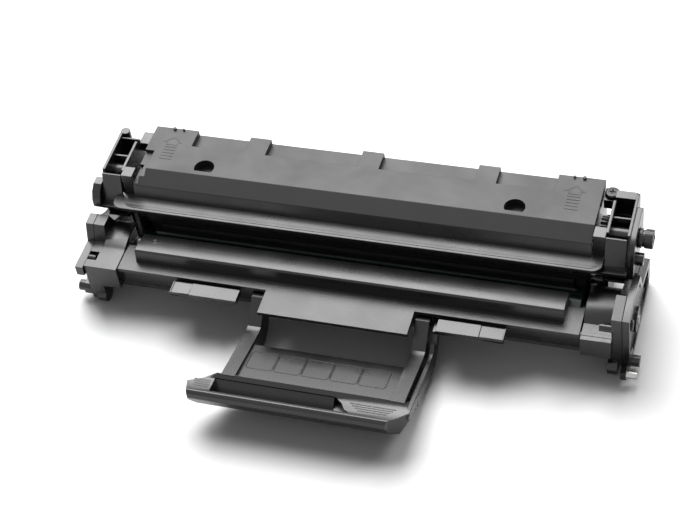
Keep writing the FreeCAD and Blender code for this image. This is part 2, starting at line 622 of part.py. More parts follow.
def side_housing(label, on_left):
    piece = Piece(label)
    piece.mirror_x = on_left
    inner, outer = S.housing_inner, S.housing_outer
    piece.pad("YZ", [[
        (34, 3), (34, 22), (38, 28.6), (42, 30), (62.5, 30), (65.4, 25.8), (70, 25), (70, -8), (64, -24), (42, -24),
        (39, -20), (39, 3),
    ]], inner, inner + 1.5)
    piece.pad("YZ", [[
        (32, 3), (33.5, 20), (37, 28), (42, 30), (66, 30), (70, 27), (70, 8), (62, 3),
    ]], outer, outer + 1.5)
    piece.pad("YZ", [[(31, 3), (34, 3), (36.6, 24.4), (43, 24.4), (43, 26), (35.2, 26)]], inner, outer + 1)
    piece.pad("YZ", [rect(29.8, 3, 32.4, 5.4)], inner - 4.6, outer + 0.8)
    piece.pad("YZ", [rect(33, 3, 62, 4.5)], inner, outer + 1)
    piece.pad("YZ", [rect(56, 4, 57.2, 26)], inner + 0.5, outer + 0.5)
    piece.pad("YZ", [[(66, 8), (67.5, 8), (67.5, 28.4), (70.5, 28.4), (70.5, 30), (66, 30)]],
              inner + 2.2, outer + 1.5)
    piece.cut("YZ", [circle(*LINK, 2.0)], inner, inner + 1.5)
    piece.pad("YZ", [circle(*AXES["coupling"], 4.3)], inner + 1, outer + 1)
    piece.pad("YZ", [rect(65.5, 20, 74, 25.9)], S.hopper_half + 0.6, inner + 1)
    if on_left:
        piece.pad("YZ", [[(31, 8), (36, 8), (40, 24), (34.5, 24)]], outer + 1.4, outer + 4)
        piece.cut("YZ", [circle(*AXES["coupling"], 2.95)], outer - 3, outer + 1.5)
    else:
        piece.pad("YZ", [[
            (33.6, 6), (35, 20), (38.5, 26.4), (43, 28.4), (61, 28.4), (64.5, 25), (64.5, 9), (60, 5),
        ]], outer + 1.4, outer + 4.2)
        piece.cut("YZ", [circle(*AXES["coupling"], 5.4)], outer + 1.5, outer + 4.2)
        piece.cut("YZ", [circle(*AXES["coupling"], 2.9 + S.run_clear)], inner, outer + 1.5)
        piece.pad("YZ", [circle(42.0, 12.6, 3.3)], outer + 1, outer + 8)
    return piece


side_housing("right_side_housing", False)
side_housing("left_side_housing", True)

# End caps over the side arms, with the machine's guide stubs


def end_cap(label, end):
    piece = Piece(label)
    piece.mirror_x = end.on_left
    piece.pad("YZ", [end.cap], end.cap_inner, end.cap_outer)
    piece.cut("YZ", [end.recess], end.cap_outer - 1.2, end.cap_outer)
    piece.pad("YZ", [circle(S.drum_y, -S.drum_z, 6.5)], end.cap_inner, end.cap_outer + 0.4)
    piece.cut("YZ", [circle(S.drum_y, -S.drum_z, 2.5)], end.cap_inner, end.cap_outer + 0.4)
    return piece


cap = end_cap("right_end_cap", RIGHT)
cap.pad("YZ", [circle(7.0, -22.4, 3.6)], RIGHT.cap_inner, RIGHT.cap_outer)
cap.pad("YZ", [circle(7.0, -22.4, 2.9)], RIGHT.cap_outer, RIGHT.cap_outer + 4.4)
cap.pad("YZ", [rect(-4.4, -24.2, 4.5, -19.2)], RIGHT.cap_inner, RIGHT.cap_outer - 0.6)
cap.cut("YZ", [circle(-2.6, -21.6, 1.2)], RIGHT.cap_inner, RIGHT.cap_outer)
cap = end_cap("left_end_cap", LEFT)
cap.pad("YZ", [circle(2.2, -20.4, 2.9)], LEFT.cap_outer, LEFT.cap_outer + 3.4)
cap.pad("YZ", [circle(6.2, -1.9, 1.9)], LEFT.cap_inner - 4, LEFT.cap_inner + 0.5)

link_pins = Piece("link_pins")
for end in (RIGHT, LEFT):
    link_pins.mirror_x = end.on_left
    link_pins.pad("YZ", [circle(*LINK, 2.0)], S.housing_inner, end.arm_outer - 0.2)

guide_pin = Piece("guide_pin")
guide_pin.pad("YZ", [circle(-2.6, -21.6, 1.2)], RIGHT.cap_inner, RIGHT.cap_outer - 0.6)
guide_pin.pad("YZ", [circle(-2.6, -21.6, 1.9)], RIGHT.cap_outer - 0.6, RIGHT.cap_outer + 4.6)

drum_pins = Piece("drum_pins")
for end in (RIGHT, LEFT):
    drum_pins.mirror_x = end.on_left
    drum_pins.pad("YZ", [circle(S.drum_y, -S.drum_z, 2.5)], S.gear_inner + 1.4, end.cap_outer + 1.0)

# Photoconductor drum with its two end flanges

drum = Piece("drum_tube")
drum.pad("YZ", [circle(S.drum_y, -S.drum_z, S.drum_radius)], -S.drum_half, S.drum_half)
drum.cut("YZ", [circle(S.drum_y, -S.drum_z, S.drum_radius - 0.8)], -S.drum_half, S.drum_half)

y, z = AXES["drum"]
gear_low, gear_high = S.gear_inner.value, S.gear_outer.value
drum_end = S.drum_half.value
hub_end = S.hopper_half.value + 14.5
drum_inside = S.drum_radius.value - 0.8
bore = 2.5 + RUN
add_shape("drum_gear_flange", joined([
    gear_shape("drum", gear_low, gear_high), rod(drum_end - 6, drum_end, y, z, drum_inside),
    rod(drum_end - 1, gear_low + 0.5, y, z, 6.0), rod(gear_high - 1, hub_end, y, z, 4.0),
]).cut(rod(drum_end - 5, hub_end + 6, y, z, bore)))
add_shape("drum_left_flange", joined([
    rod(-drum_end, 6 - drum_end, y, z, drum_inside), rod(-drum_end - 4, 1 - drum_end, y, z, 6.0),
    rod(-hub_end, -drum_end - 3, y, z, 4.0),
]).cut(rod(-hub_end - 6, 5 - drum_end, y, z, bore)))

# Charge roller, its holders and springs under the ridge

charge = Piece("charge_roller")
charge.pad("YZ", [circle(*AXES["charge"], S.charge_radius)], -S.charge_half, S.charge_half)
charge.cut("YZ", [circle(*AXES["charge"], S.charge_shaft)], -S.charge_half, S.charge_half)
charge_rod = Piece("charge_shaft")
charge_rod.pad("YZ", [circle(*AXES["charge"], S.charge_shaft)], -S.charge_half - 4, S.charge_half + 4)
holders = Piece("charge_holders")
holders.both("pad", "YZ", [[(10.2, -4.2), (14.4, -4.2), (16.2, -2.2), (16.2, 1.8), (10.2, 2.2)]],
             S.charge_half + 0.6, S.charge_half + 4.4)
holders.both("cut", "YZ", [circle(*AXES["charge"], S.charge_shaft + S.run_clear)],
             S.charge_half + 0.6, S.charge_half + 4.4)


def coil(x, y, low_z, high_z, radius, wire, turns):
    helix = Part.makeHelix((high_z - low_z) / turns, high_z - low_z, radius)
    helix.translate(FreeCAD.Vector(x, y, low_z))
    start = helix.Edges[0].valueAt(helix.Edges[0].FirstParameter)
    ring = Part.Wire(Part.makeCircle(wire, start, FreeCAD.Vector(0, 1, 0)))
    return Part.Wire(helix.Edges).makePipeShell([ring], True, False)


charge_spring_x = S.charge_half.value + 2.5
springs = [coil(side * charge_spring_x, 11.9, 2.5, 4.65, 1.4, 0.3, 2.5) for side in (-1, 1)]
add_shape("charge_springs", Part.makeCompound(springs))
unit_spring_x = S.housing_outer.value - 1.4
springs = [coil(side * unit_spring_x, 44.0, -3.5, 2.6, 1.9, 0.35, 5) for side in (-1, 1)]
add_shape("unit_springs", Part.makeCompound(springs))

# Cleaning blade on its steel bracket

bracket = Piece("blade_bracket")
bracket.pad("YZ", [[(4.3, -7.5), (9.3, -7.5), (11.1, -11.5), (12.0, -11.1), (10.0, -6.5), (4.3, -6.5)]],
            -S.developer_half, S.developer_half)
bracket.both("cut", "XY", [circle(S.charge_half - 1, 6.2, 1.5)], -7.5, -6.5)
blade = Piece("cleaning_blade")
blade.pad("YZ", [[(10.49, -10.25), (13.36, -16.62), (11.72, -17.36), (8.85, -10.99)]],
          1 - S.developer_half, S.developer_half - 1)

# Developer roller, supply roller, doctor blade and agitator

developer = Piece("developer_roller")
developer.pad("YZ", [circle(*AXES["developer"], S.developer_radius)], -S.developer_half, S.developer_half)
developer.cut("YZ", [circle(*AXES["developer"], S.developer_shaft)], -S.developer_half, S.developer_half)
developer_rod = Piece("developer_shaft")
developer_rod.pad("YZ", [circle(*AXES["developer"], S.developer_shaft)], -S.shaft_end, S.gear_outer)
supply = Piece("supply_roller")
supply.pad("YZ", [circle(*AXES["supply"], S.supply_radius)], -S.supply_half, S.supply_half)
supply.cut("YZ", [circle(*AXES["supply"], S.supply_shaft)], -S.supply_half, S.supply_half)
supply_rod = Piece("supply_shaft")
supply_rod.pad("YZ", [circle(*AXES["supply"], S.supply_shaft)], -S.shaft_end, S.gear_outer)
doctor_bracket = Piece("doctor_bracket")
doctor_bracket.pad("YZ", [rect(36.4, -1, 37.6, 12)], 1 - S.bin_end, S.bin_end - 1)
doctor_bracket.both("cut", "XZ", [circle(S.charge_half - 1, 8, 1.5)], 36.4, 37.6)
doctor_blade = Piece("doctor_blade")
doctor_blade.pad("YZ", [rect(37.6, -4.5, 38.6, 3)], -S.developer_half, S.developer_half)
agitator_rod = Piece("agitator_shaft")
agitator_y, agitator_z = AXES["agitator"]
agitator_rod.pad("YZ", [circle(agitator_y, agitator_z, S.agitator_shaft)], -S.shaft_end, S.gear_outer)
film = Piece("agitator_film")
film_low = agitator_z + 2.5
film.pad("YZ", [rect(agitator_y - 2, film_low, agitator_y + 12, film_low + 0.4)],
         1 - S.bin_end, S.bin_end - 1)
for index in range(5):
    left = -100 + index * 42
    film.cut("XY", [rect(left, agitator_y + 3, left + 32, agitator_y + 8)], film_low, film_low + 0.4)

for name, shaft in (("developer", 3.0), ("supply", 2.5), ("agitator", 2.5)):
    wheel = gear_shape(name, gear_low, gear_high)
    add_shape(name + "_gear", wheel.cut(rod(gear_low - 1, gear_high + 1, *AXES[name], shaft)))
idler = gear_shape("idler", gear_low, gear_high - 0.2)
add_shape("idler_gear", idler.cut(rod(gear_low - 1, gear_high + 1, *AXES["idler"], 2.0 + RUN)))

y, z = AXES["coupling"]
collar = S.housing_outer.value + 2.0
coupling_end = RIGHT.cap_outer.value + S.coupling_reach.value
coupling = joined([
    gear_shape("coupling", gear_low, gear_high - 0.2), rod(gear_low + 1, collar + 0.5, y, z, 2.9),
    rod(collar, coupling_end, y, z, 4.2), rod(collar, collar + 1.4, y, z, 4.9),
    rod(collar + 2.6, collar + 4.0, y, z, 4.9), rod(coupling_end - 4.1, coupling_end, y, z, 4.7),
])
claws = [Part.makeBox(4, 1.6, 4.4, FreeCAD.Vector(coupling_end - 3, y - 0.8, z)) for _ in range(3)]
for index, claw in enumerate(claws):
    claw.rotate(FreeCAD.Vector(0, y, z), FreeCAD.Vector(1, 0, 0), 120 * index)
coupling = coupling.cut(rod(coupling_end - 3, coupling_end + 1, y, z, 2.2))
for claw in claws:
    coupling = coupling.cut(claw)
add_shape("drive_coupling", coupling)

# Bushings, seals, contacts, plug and screws

hub = S.hopper_half - S.hopper_wall
developer_bushings = Piece("developer_bushings")
developer_bushings.both("pad", "YZ", [circle(*AXES["developer"], 4.5)], hub, S.hopper_half)
developer_bushings.both("pad", "YZ", [circle(*AXES["developer"], 5.4)], hub - 1.2, hub)
developer_bushings.both("cut", "YZ", [circle(*AXES["developer"], S.developer_shaft + S.run_clear)],
                        hub - 1.2, S.hopper_half)
for name in ("supply", "agitator"):
    ring = Piece(name + "_bushings")
    ring.both("pad", "YZ", [circle(*AXES[name], 4.0)], hub, S.hopper_half)
    ring.both("pad", "YZ", [circle(*AXES[name], 4.8)], hub - 1.2, hub)
    ring.both("cut", "YZ", [circle(*AXES[name], S.supply_shaft + S.run_clear)], hub - 1.2, S.hopper_half)

seals = Piece("end_seals")
seal_start = S.developer_half + 1
seals.both("pad", "YZ", [circle(*AXES["developer"], 7.2)], seal_start, hub - 1.2)
seals.both("cut", "YZ", [circle(*AXES["developer"], S.developer_shaft + 0.4)], seal_start, hub - 1.2)

plug = Piece("fill_plug")
plug.mirror_x = True
plug.pad("YZ", [circle(69.5, -1, 6.2)], S.hopper_half - S.hopper_wall, S.hopper_half)
plug.pad("YZ", [circle(69.5, -1, 7.6)], S.hopper_half, S.hopper_half + 1.2)

contact = Piece("bias_contact")
contact.mirror_x = True
contact.pad("YZ", [[(40, -15), (48, -15), (52, -20), (56, -20), (56, -22), (50, -22), (44, -19),
                    (40, -19)]], S.hopper_half, S.hopper_half + 0.5)


def screw(x, y, z, axis, head=2.8):
    """A pan head screw whose head stands on the point and whose axis points out of the part."""
    way = FreeCAD.Vector(*axis)
    base = FreeCAD.Vector(x, y, z)
    cap = Part.makeCylinder(head, 2.0, base, way)
    edge = [e for e in cap.Edges if abs((e.BoundBox.Center - base).dot(way) - 2.0) < 1e-6]
    cap = cap.makeFillet(1.0, edge)
    slot = Part.makeBox(3.2, 0.8, 1.2, FreeCAD.Vector(-1.6, -0.4, 1.1))
    cross = slot.fuse(slot.rotated(FreeCAD.Vector(), FreeCAD.Vector(0, 0, 1), 90))
    turn = FreeCAD.Rotation(FreeCAD.Vector(0, 0, 1), way)
    cross.Placement = FreeCAD.Placement(base, turn)
    return cap.cut(cross)


inner_screw = S.charge_half.value - 1
add_shape("housing_screw", screw(S.hopper_half.value + 4.3, 69.9, 25.9, (0, 0, 1), 3.7))
add_shape("bracket_screws", Part.makeCompound([screw(side * inner_screw, 6.2, -6.5, (0, 0, 1), 1.9)
                                               for side in (-1, 1)]))
add_shape("doctor_screws", Part.makeCompound([screw(side * inner_screw, 37.6, 8, (0, 1, 0))
                                              for side in (-1, 1)]))
right_face = RIGHT.cap_outer.value - 1.2
left_face = LEFT.cap_outer.value - 1.2
cap_points = [(right_face, 8.0, 3.0), (right_face, 54.0, -18.0), (-left_face, 14.0, -9.0),
              (-left_face, 54.0, -18.0)]
add_shape("cap_screws", Part.makeCompound([screw(x, y, z, (math.copysign(1, x), 0, 0))
                                           for x, y, z in cap_points]))

doc.recompute()
os.makedirs("parts", exist_ok=True)
for obj in doc.Objects:
    if "Invalid" in obj.State or "Error" in obj.State:
        raise ValueError("%s is not valid" % obj.Name)
for label, obj in Piece.made:
    shape = obj.Shape
    if shape.isNull() or not shape.isValid() or not shape.Solids:
        raise ValueError("%s has no valid shape" % label)
    shape.exportStep(os.path.join("parts", label + ".step"))
    box = shape.BoundBox
    print("%-20s %d solids %8.0f mm3  x %.1f..%.1f y %.1f..%.1f z %.1f..%.1f" % (
        label, len(shape.Solids), shape.Volume, box.XMin, box.XMax, box.YMin, box.YMax, box.ZMin, box.ZMax))
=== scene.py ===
"""Looks of a toner cartridge: finishes on the CAD pieces, the mouldings that the CAD leaves plainer, raised
marks and ribs, studio and camera.

Every length is in metres in the row frame. The cover plate's front edge lies at PLATE_FRONT_Y, its top
face at PLATE_TOP_Z and its middle at PLATE_MID_X, so mm() takes sizes measured on the plate.
"""

import json
import logging
import math
from dataclasses import dataclass, field
from enum import Enum

import bmesh
import bpy
from mathutils import Matrix, Vector


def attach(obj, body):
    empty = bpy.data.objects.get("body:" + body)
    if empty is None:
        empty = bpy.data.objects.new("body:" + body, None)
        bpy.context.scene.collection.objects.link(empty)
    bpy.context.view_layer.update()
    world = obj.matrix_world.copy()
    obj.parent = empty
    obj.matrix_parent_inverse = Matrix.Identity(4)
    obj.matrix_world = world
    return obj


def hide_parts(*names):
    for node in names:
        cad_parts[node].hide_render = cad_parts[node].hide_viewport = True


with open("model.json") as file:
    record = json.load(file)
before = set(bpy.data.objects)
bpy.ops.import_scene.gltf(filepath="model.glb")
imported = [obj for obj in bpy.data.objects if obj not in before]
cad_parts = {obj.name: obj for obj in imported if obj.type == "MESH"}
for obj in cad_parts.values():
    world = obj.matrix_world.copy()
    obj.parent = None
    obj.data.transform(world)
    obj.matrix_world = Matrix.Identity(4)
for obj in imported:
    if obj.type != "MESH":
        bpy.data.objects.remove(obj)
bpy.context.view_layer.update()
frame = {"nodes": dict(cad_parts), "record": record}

PLATE_MID_X = -1.2
PLATE_FRONT_Y = -5.7
PLATE_TOP_Z = 28.0
SHARP_DEGREES = 32.0
BEVEL_DEGREES = 40.0
WELD_METRES = 0.000002

log = logging.getLogger("cartridge")


def mm(x: float, y: float, z: float) -> Vector:
    """Gives a point measured in mm on the cover plate as a point of the row frame in metres.

    Args:
        x: Distance to the right of the plate's middle.
        y: Distance behind the plate's front edge.
        z: Height above the plate's top face.

    Returns:
        The point in metres.
    """
    return Vector((x + PLATE_MID_X, y + PLATE_FRONT_Y, z + PLATE_TOP_Z)) / 1000.0


def linear(hex_colour: str) -> tuple[float, float, float, float]:
    """Turns an sRGB hex value such as "1b1b1d" into a linear colour.

    Args:
        hex_colour: Six hex digits.

    Returns:
        Red, green, blue and an alpha of 1, linear.
    """
    channels = []
    for start in (0, 2, 4):
        value = int(hex_colour[start:start + 2], 16) / 255.0
        channels.append(value / 12.92 if value <= 0.04045 else ((value + 0.055) / 1.055) ** 2.4)
    return (channels[0], channels[1], channels[2], 1.0)


def per_mm(size_mm: float) -> float:
    """Gives the texture scale at which one feature is size_mm wide."""
    return 1000.0 / size_mm


def add_node(tree: bpy.types.NodeTree, kind: str, settings: dict | None = None,
             links: dict | None = None) -> bpy.types.Node:
    """Adds one node, sets its properties or inputs and links its inputs.

    Args:
        tree: The tree that gets the node.
        kind: Blender's node type.
        settings: Property names, or input names or numbers, and their values.
        links: Input names or numbers and the output sockets that feed them.

    Returns:
        The new node.
    """
    node = tree.nodes.new(kind)
    for key, value in (settings or {}).items():
        if isinstance(key, str) and key not in node.inputs and hasattr(node, key):
            setattr(node, key, value)
        else:
            node.inputs[key].default_value = value
    for key, socket in (links or {}).items():
        tree.links.new(socket, node.inputs[key])
    return node


class Make(Enum):
    """How a surface was made, which sets the pattern of its grain."""

    MOULDED = "moulded"
    ERODED = "spark eroded"
    GROUND = "ground"
    FOAMED = "foamed"
    SHEET = "rolled sheet"


@dataclass(frozen=True)
class Finish:
    """One real material and the way its surface was made."""

    name: str
    colour: str
    worn: str
    make: Make
    roughness: float
    roughness_spread: float = 0.08
    grain_mm: float = 0.5
    grain_depth_mm: float = 0.02
    blotch_mm: float = 25.0
    metallic: float = 0.0
    ior: float = 1.5
    coat: float = 0.0
    coat_roughness: float = 0.12
    edge_mm: float = 0.25
    wear_edge_mm: float = 0.5
    wear_patch_mm: float = 9.0
    upper_from_mm: float = 0.0
    upper_roughness: float = 0.0
    upper_grain: float = 1.0
    upper_blend_mm: float = 0.6

    def build(self) -> bpy.types.Material:
        """Builds the node material.

        Returns:
            The finished material.
        """
        material = bpy.data.materials.new(self.name)
        material.use_nodes = True
        tree = material.node_tree
        tree.nodes.clear()
        place = add_node(tree, "ShaderNodeTexCoord").outputs["Object"]
        blotch = add_node(tree, "ShaderNodeTexNoise",
                          {"Scale": per_mm(self.blotch_mm), "Detail": 4.0, "Roughness": 0.6},
                          {"Vector": place})
        grain = self.grain(tree, place)
        wear = self.wear(tree, place)
        upper = self.upper(tree, place)
        tone = add_node(tree, "ShaderNodeMix",
                        {"data_type": "RGBA", 6: linear(self.colour), 7: linear(self.worn)},
                        {0: wear})
        low = self.roughness - self.roughness_spread
        high = self.roughness + self.roughness_spread
        rough = add_node(tree, "ShaderNodeMapRange",
                         {"From Min": 0.3, "From Max": 0.7, "To Min": low, "To Max": high},
                         {"Value": blotch.outputs["Fac"]}).outputs["Result"]
        if upper:
            change = self.upper_roughness - self.roughness
            rough = add_node(tree, "ShaderNodeMath", {"operation": "MULTIPLY_ADD", 1: change},
                             {0: upper, 2: rough}).outputs[0]
            less = add_node(tree, "ShaderNodeMath",
                            {"operation": "MULTIPLY_ADD", 1: self.upper_grain - 1.0, 2: 1.0},
                            {0: upper}).outputs[0]
            grain = add_node(tree, "ShaderNodeMath", {"operation": "MULTIPLY"},
                             {0: grain, 1: less}).outputs[0]
        rounded = add_node(tree, "ShaderNodeBevel", {"samples": 4, "Radius": self.edge_mm / 1000.0})
        bump = add_node(tree, "ShaderNodeBump",
                        {"Strength": 1.0, "Distance": self.grain_depth_mm / 1000.0},
                        {"Height": grain, "Normal": rounded.outputs["Normal"]})
        shader = add_node(tree, "ShaderNodeBsdfPrincipled",
                          {"Metallic": self.metallic, "Coat Weight": self.coat,
                           "Coat Roughness": self.coat_roughness},
                          {"Base Color": tone.outputs[2], "Roughness": rough,
                           "Normal": bump.outputs["Normal"]})
        if self.metallic == 0.0:
            shader.inputs["IOR"].default_value = self.ior
        add_node(tree, "ShaderNodeOutputMaterial", {}, {"Surface": shader.outputs["BSDF"]})
        return material

    def upper(self, tree: bpy.types.NodeTree,
              place: bpy.types.NodeSocket) -> bpy.types.NodeSocket | None:
        """Finds the part of a piece above upper_from_mm, where its mould was finished differently.

        Args:
            tree: The material's tree.
            place: The coordinates of the piece in metres.

        Returns:
            A mask socket from 0 to 1, or None where the whole piece has one finish.
        """
        if self.upper_from_mm <= 0:
            return None
        split = add_node(tree, "ShaderNodeSeparateXYZ", {}, {0: place})
        start, end = self.upper_from_mm / 1000.0, (self.upper_from_mm + self.upper_blend_mm) / 1000.0
        return add_node(tree, "ShaderNodeMapRange", {"From Min": start, "From Max": end},
                        {"Value": split.outputs["Z"]}).outputs["Result"]

    def grain(self, tree: bpy.types.NodeTree, place: bpy.types.NodeSocket) -> bpy.types.NodeSocket:
        """Draws the relief that the making leaves.

        Args:
            tree: The material's tree.
            place: The coordinates of the piece in metres.

        Returns:
            A height socket from 0 to 1.
        """
        fine = add_node(tree, "ShaderNodeTexNoise",
                        {"Scale": per_mm(self.grain_mm), "Detail": 3.0, "Roughness": 0.55},
                        {"Vector": place})
        if self.make is Make.ERODED:
            cells = add_node(tree, "ShaderNodeTexVoronoi",
                             {"feature": "SMOOTH_F1", "Scale": per_mm(self.grain_mm * 1.6)},
                             {"Vector": place})
            return add_node(tree, "ShaderNodeMath", {"operation": "MULTIPLY"},
                            {0: fine.outputs["Fac"], 1: cells.outputs["Distance"]}).outputs[0]
        if self.make is Make.FOAMED:
            return add_node(tree, "ShaderNodeTexVoronoi",
                            {"feature": "F1", "Scale": per_mm(self.grain_mm)},
                            {"Vector": place}).outputs["Distance"]
        if self.make is Make.GROUND:
            stretched = add_node(tree, "ShaderNodeMapping", {"Scale": (1.0, 0.04, 0.04)},
                                 {"Vector": place})
            return add_node(tree, "ShaderNodeTexNoise",
                            {"Scale": per_mm(self.grain_mm), "Detail": 2.0},
                            {"Vector": stretched.outputs["Vector"]}).outputs["Fac"]
        if self.make is Make.SHEET:
            stretched = add_node(tree, "ShaderNodeMapping", {"Scale": (0.05, 1.0, 1.0)},
                                 {"Vector": place})
            return add_node(tree, "ShaderNodeTexNoise",
                            {"Scale": per_mm(self.grain_mm), "Detail": 2.0},
                            {"Vector": stretched.outputs["Vector"]}).outputs["Fac"]
        return fine.outputs["Fac"]

    def wear(self, tree: bpy.types.NodeTree, place: bpy.types.NodeSocket) -> bpy.types.NodeSocket:
        """Finds where handling has paled the surface: edges and a few rubbed patches.

        Args:
            tree: The material's tree.
            place: The coordinates of the piece in metres.

        Returns:
            A mask socket from 0 to 1.
        """
        flat = add_node(tree, "ShaderNodeNewGeometry")
        wide = add_node(tree, "ShaderNodeBevel", {"samples": 4, "Radius": self.wear_edge_mm / 1000.0})
        same = add_node(tree, "ShaderNodeVectorMath", {"operation": "DOT_PRODUCT"},
                        {0: flat.outputs["True Normal"], 1: wide.outputs["Normal"]})
        edge = add_node(tree, "ShaderNodeMapRange",
                        {"From Min": 0.98, "From Max": 0.86, "To Min": 0.0, "To Max": 0.55},
                        {"Value": same.outputs["Value"]})
        rubbed = add_node(tree, "ShaderNodeTexNoise",
                          {"Scale": per_mm(self.wear_patch_mm), "Detail": 6.0, "Roughness": 0.7},
                          {"Vector": place})
        patch = add_node(tree, "ShaderNodeMapRange",
                         {"From Min": 0.42, "From Max": 0.72, "To Min": 0.0, "To Max": 0.6},
                         {"Value": rubbed.outputs["Fac"]})
        both = add_node(tree, "ShaderNodeMath", {"operation": "ADD", "use_clamp": True},
                        {0: edge.outputs["Result"], 1: patch.outputs["Result"]})
        return both.outputs[0]


# High-impact polystyrene from a polished mould: black, satin, it mirrors the softbox along its top faces.
HOUSING = Finish("moulded_black_polystyrene", "111112", "1b1b1c", Make.MOULDED, 0.27, 0.05,
                 grain_mm=0.6, grain_depth_mm=0.01)
# The same plastic on the lid. Its flange is satin and catches the softbox; the top was vapour blasted and
# reads as an even middle grey.
LID = Finish("moulded_lid_polystyrene", "121213", "1c1c1d", Make.MOULDED, 0.3, 0.05,
             grain_mm=0.5, grain_depth_mm=0.02, upper_from_mm=52.0, upper_roughness=0.52,
             upper_grain=1.2)
# The cover plate's mould was spark eroded: a visible pebble that breaks the reflection up. Its ridge was
# polished, so the flat strip on it shines.
TEXTURED = Finish("eroded_black_polystyrene", "131314", "1d1d1e", Make.ERODED, 0.36, 0.05,
                  grain_mm=0.55, grain_depth_mm=0.09, upper_from_mm=31.4, upper_roughness=0.3,
                  upper_grain=0.1)
# Dark grey acetal of the gear train: slightly glossy teeth that stay dark between the walls.
ACETAL = Finish("moulded_grey_acetal", "242425", "2e2e2f", Make.MOULDED, 0.34, grain_depth_mm=0.005)
# Black acetal of the drive coupling and the bushings.
BLACK_ACETAL = Finish("moulded_black_acetal", "131314", "202021", Make.MOULDED, 0.28, 0.05,
                      grain_depth_mm=0.008)
# Photoconductor: a clear glossy organic coat over a dark green layer on aluminium. The green is set darker
# than the coat is, as painted shade, so the drum reads as black as the shaded slot it sits in.
PHOTOCONDUCTOR = Finish("coated_drum_aluminium", "1b302e", "182b2a", Make.GROUND, 0.2, 0.03,
                        grain_mm=0.3, grain_depth_mm=0.002, coat=0.2, edge_mm=0.05)
# Conductive rubber, ground to size: matt with fine turning marks.
RUBBER = Finish("ground_black_rubber", "1c1c1d", "262627", Make.GROUND, 0.62,
                grain_mm=0.2, grain_depth_mm=0.01, edge_mm=0.1)
# Open-cell foam of the supply roller.
FOAM = Finish("foamed_grey_polyurethane", "3a3a38", "2e2e2c", Make.FOAMED, 0.9,
              grain_mm=0.9, grain_depth_mm=0.25, edge_mm=0.1)
# Cast polyurethane blade: amber, smooth.
BLADE = Finish("cast_amber_polyurethane", "a8793f", "9a6c34", Make.MOULDED, 0.3, grain_depth_mm=0.003)
# Ground steel of the shafts and pins: the grinding runs round the axis.
STEEL = Finish("ground_bright_steel", "b0b0ae", "9a9a98", Make.GROUND, 0.3,
               grain_mm=0.25, grain_depth_mm=0.004, metallic=1.0, edge_mm=0.1)
# Zinc coated sheet of the brackets and contacts.
ZINC = Finish("rolled_zinc_steel", "a9aaa8", "8f908e", Make.SHEET, 0.38,
              grain_mm=0.5, grain_depth_mm=0.006, metallic=1.0, edge_mm=0.1)
# Black zinc plated screws.
SCREW = Finish("plated_black_screw_steel", "1a1a1b", "4a4a4c", Make.MOULDED, 0.3,
               grain_depth_mm=0.004, metallic=1.0, edge_mm=0.15)
# Polyester film of the agitator.
FILM = Finish("rolled_polyester_film", "d4d2c8", "c6c4ba", Make.SHEET, 0.2, grain_depth_mm=0.002)
# Pressed black felt of the end seals.
FELT = Finish("pressed_black_felt", "232222", "2b2a2a", Make.FOAMED, 0.95,
              grain_mm=0.4, grain_depth_mm=0.1)

SLOT_FINISHES: dict[str, Finish] = {
    "housing_plastic": HOUSING, "textured_plastic": TEXTURED, "lid_plastic": LID,
    "gear_plastic": ACETAL, "coupling_plastic": BLACK_ACETAL, "drum_coat": PHOTOCONDUCTOR,
    "roller_rubber": RUBBER, "supply_foam": FOAM, "blade_rubber": BLADE, "shaft_steel": STEEL,
    "sheet_steel": ZINC, "screw_steel": SCREW, "film": FILM, "seal_felt": FELT,
}


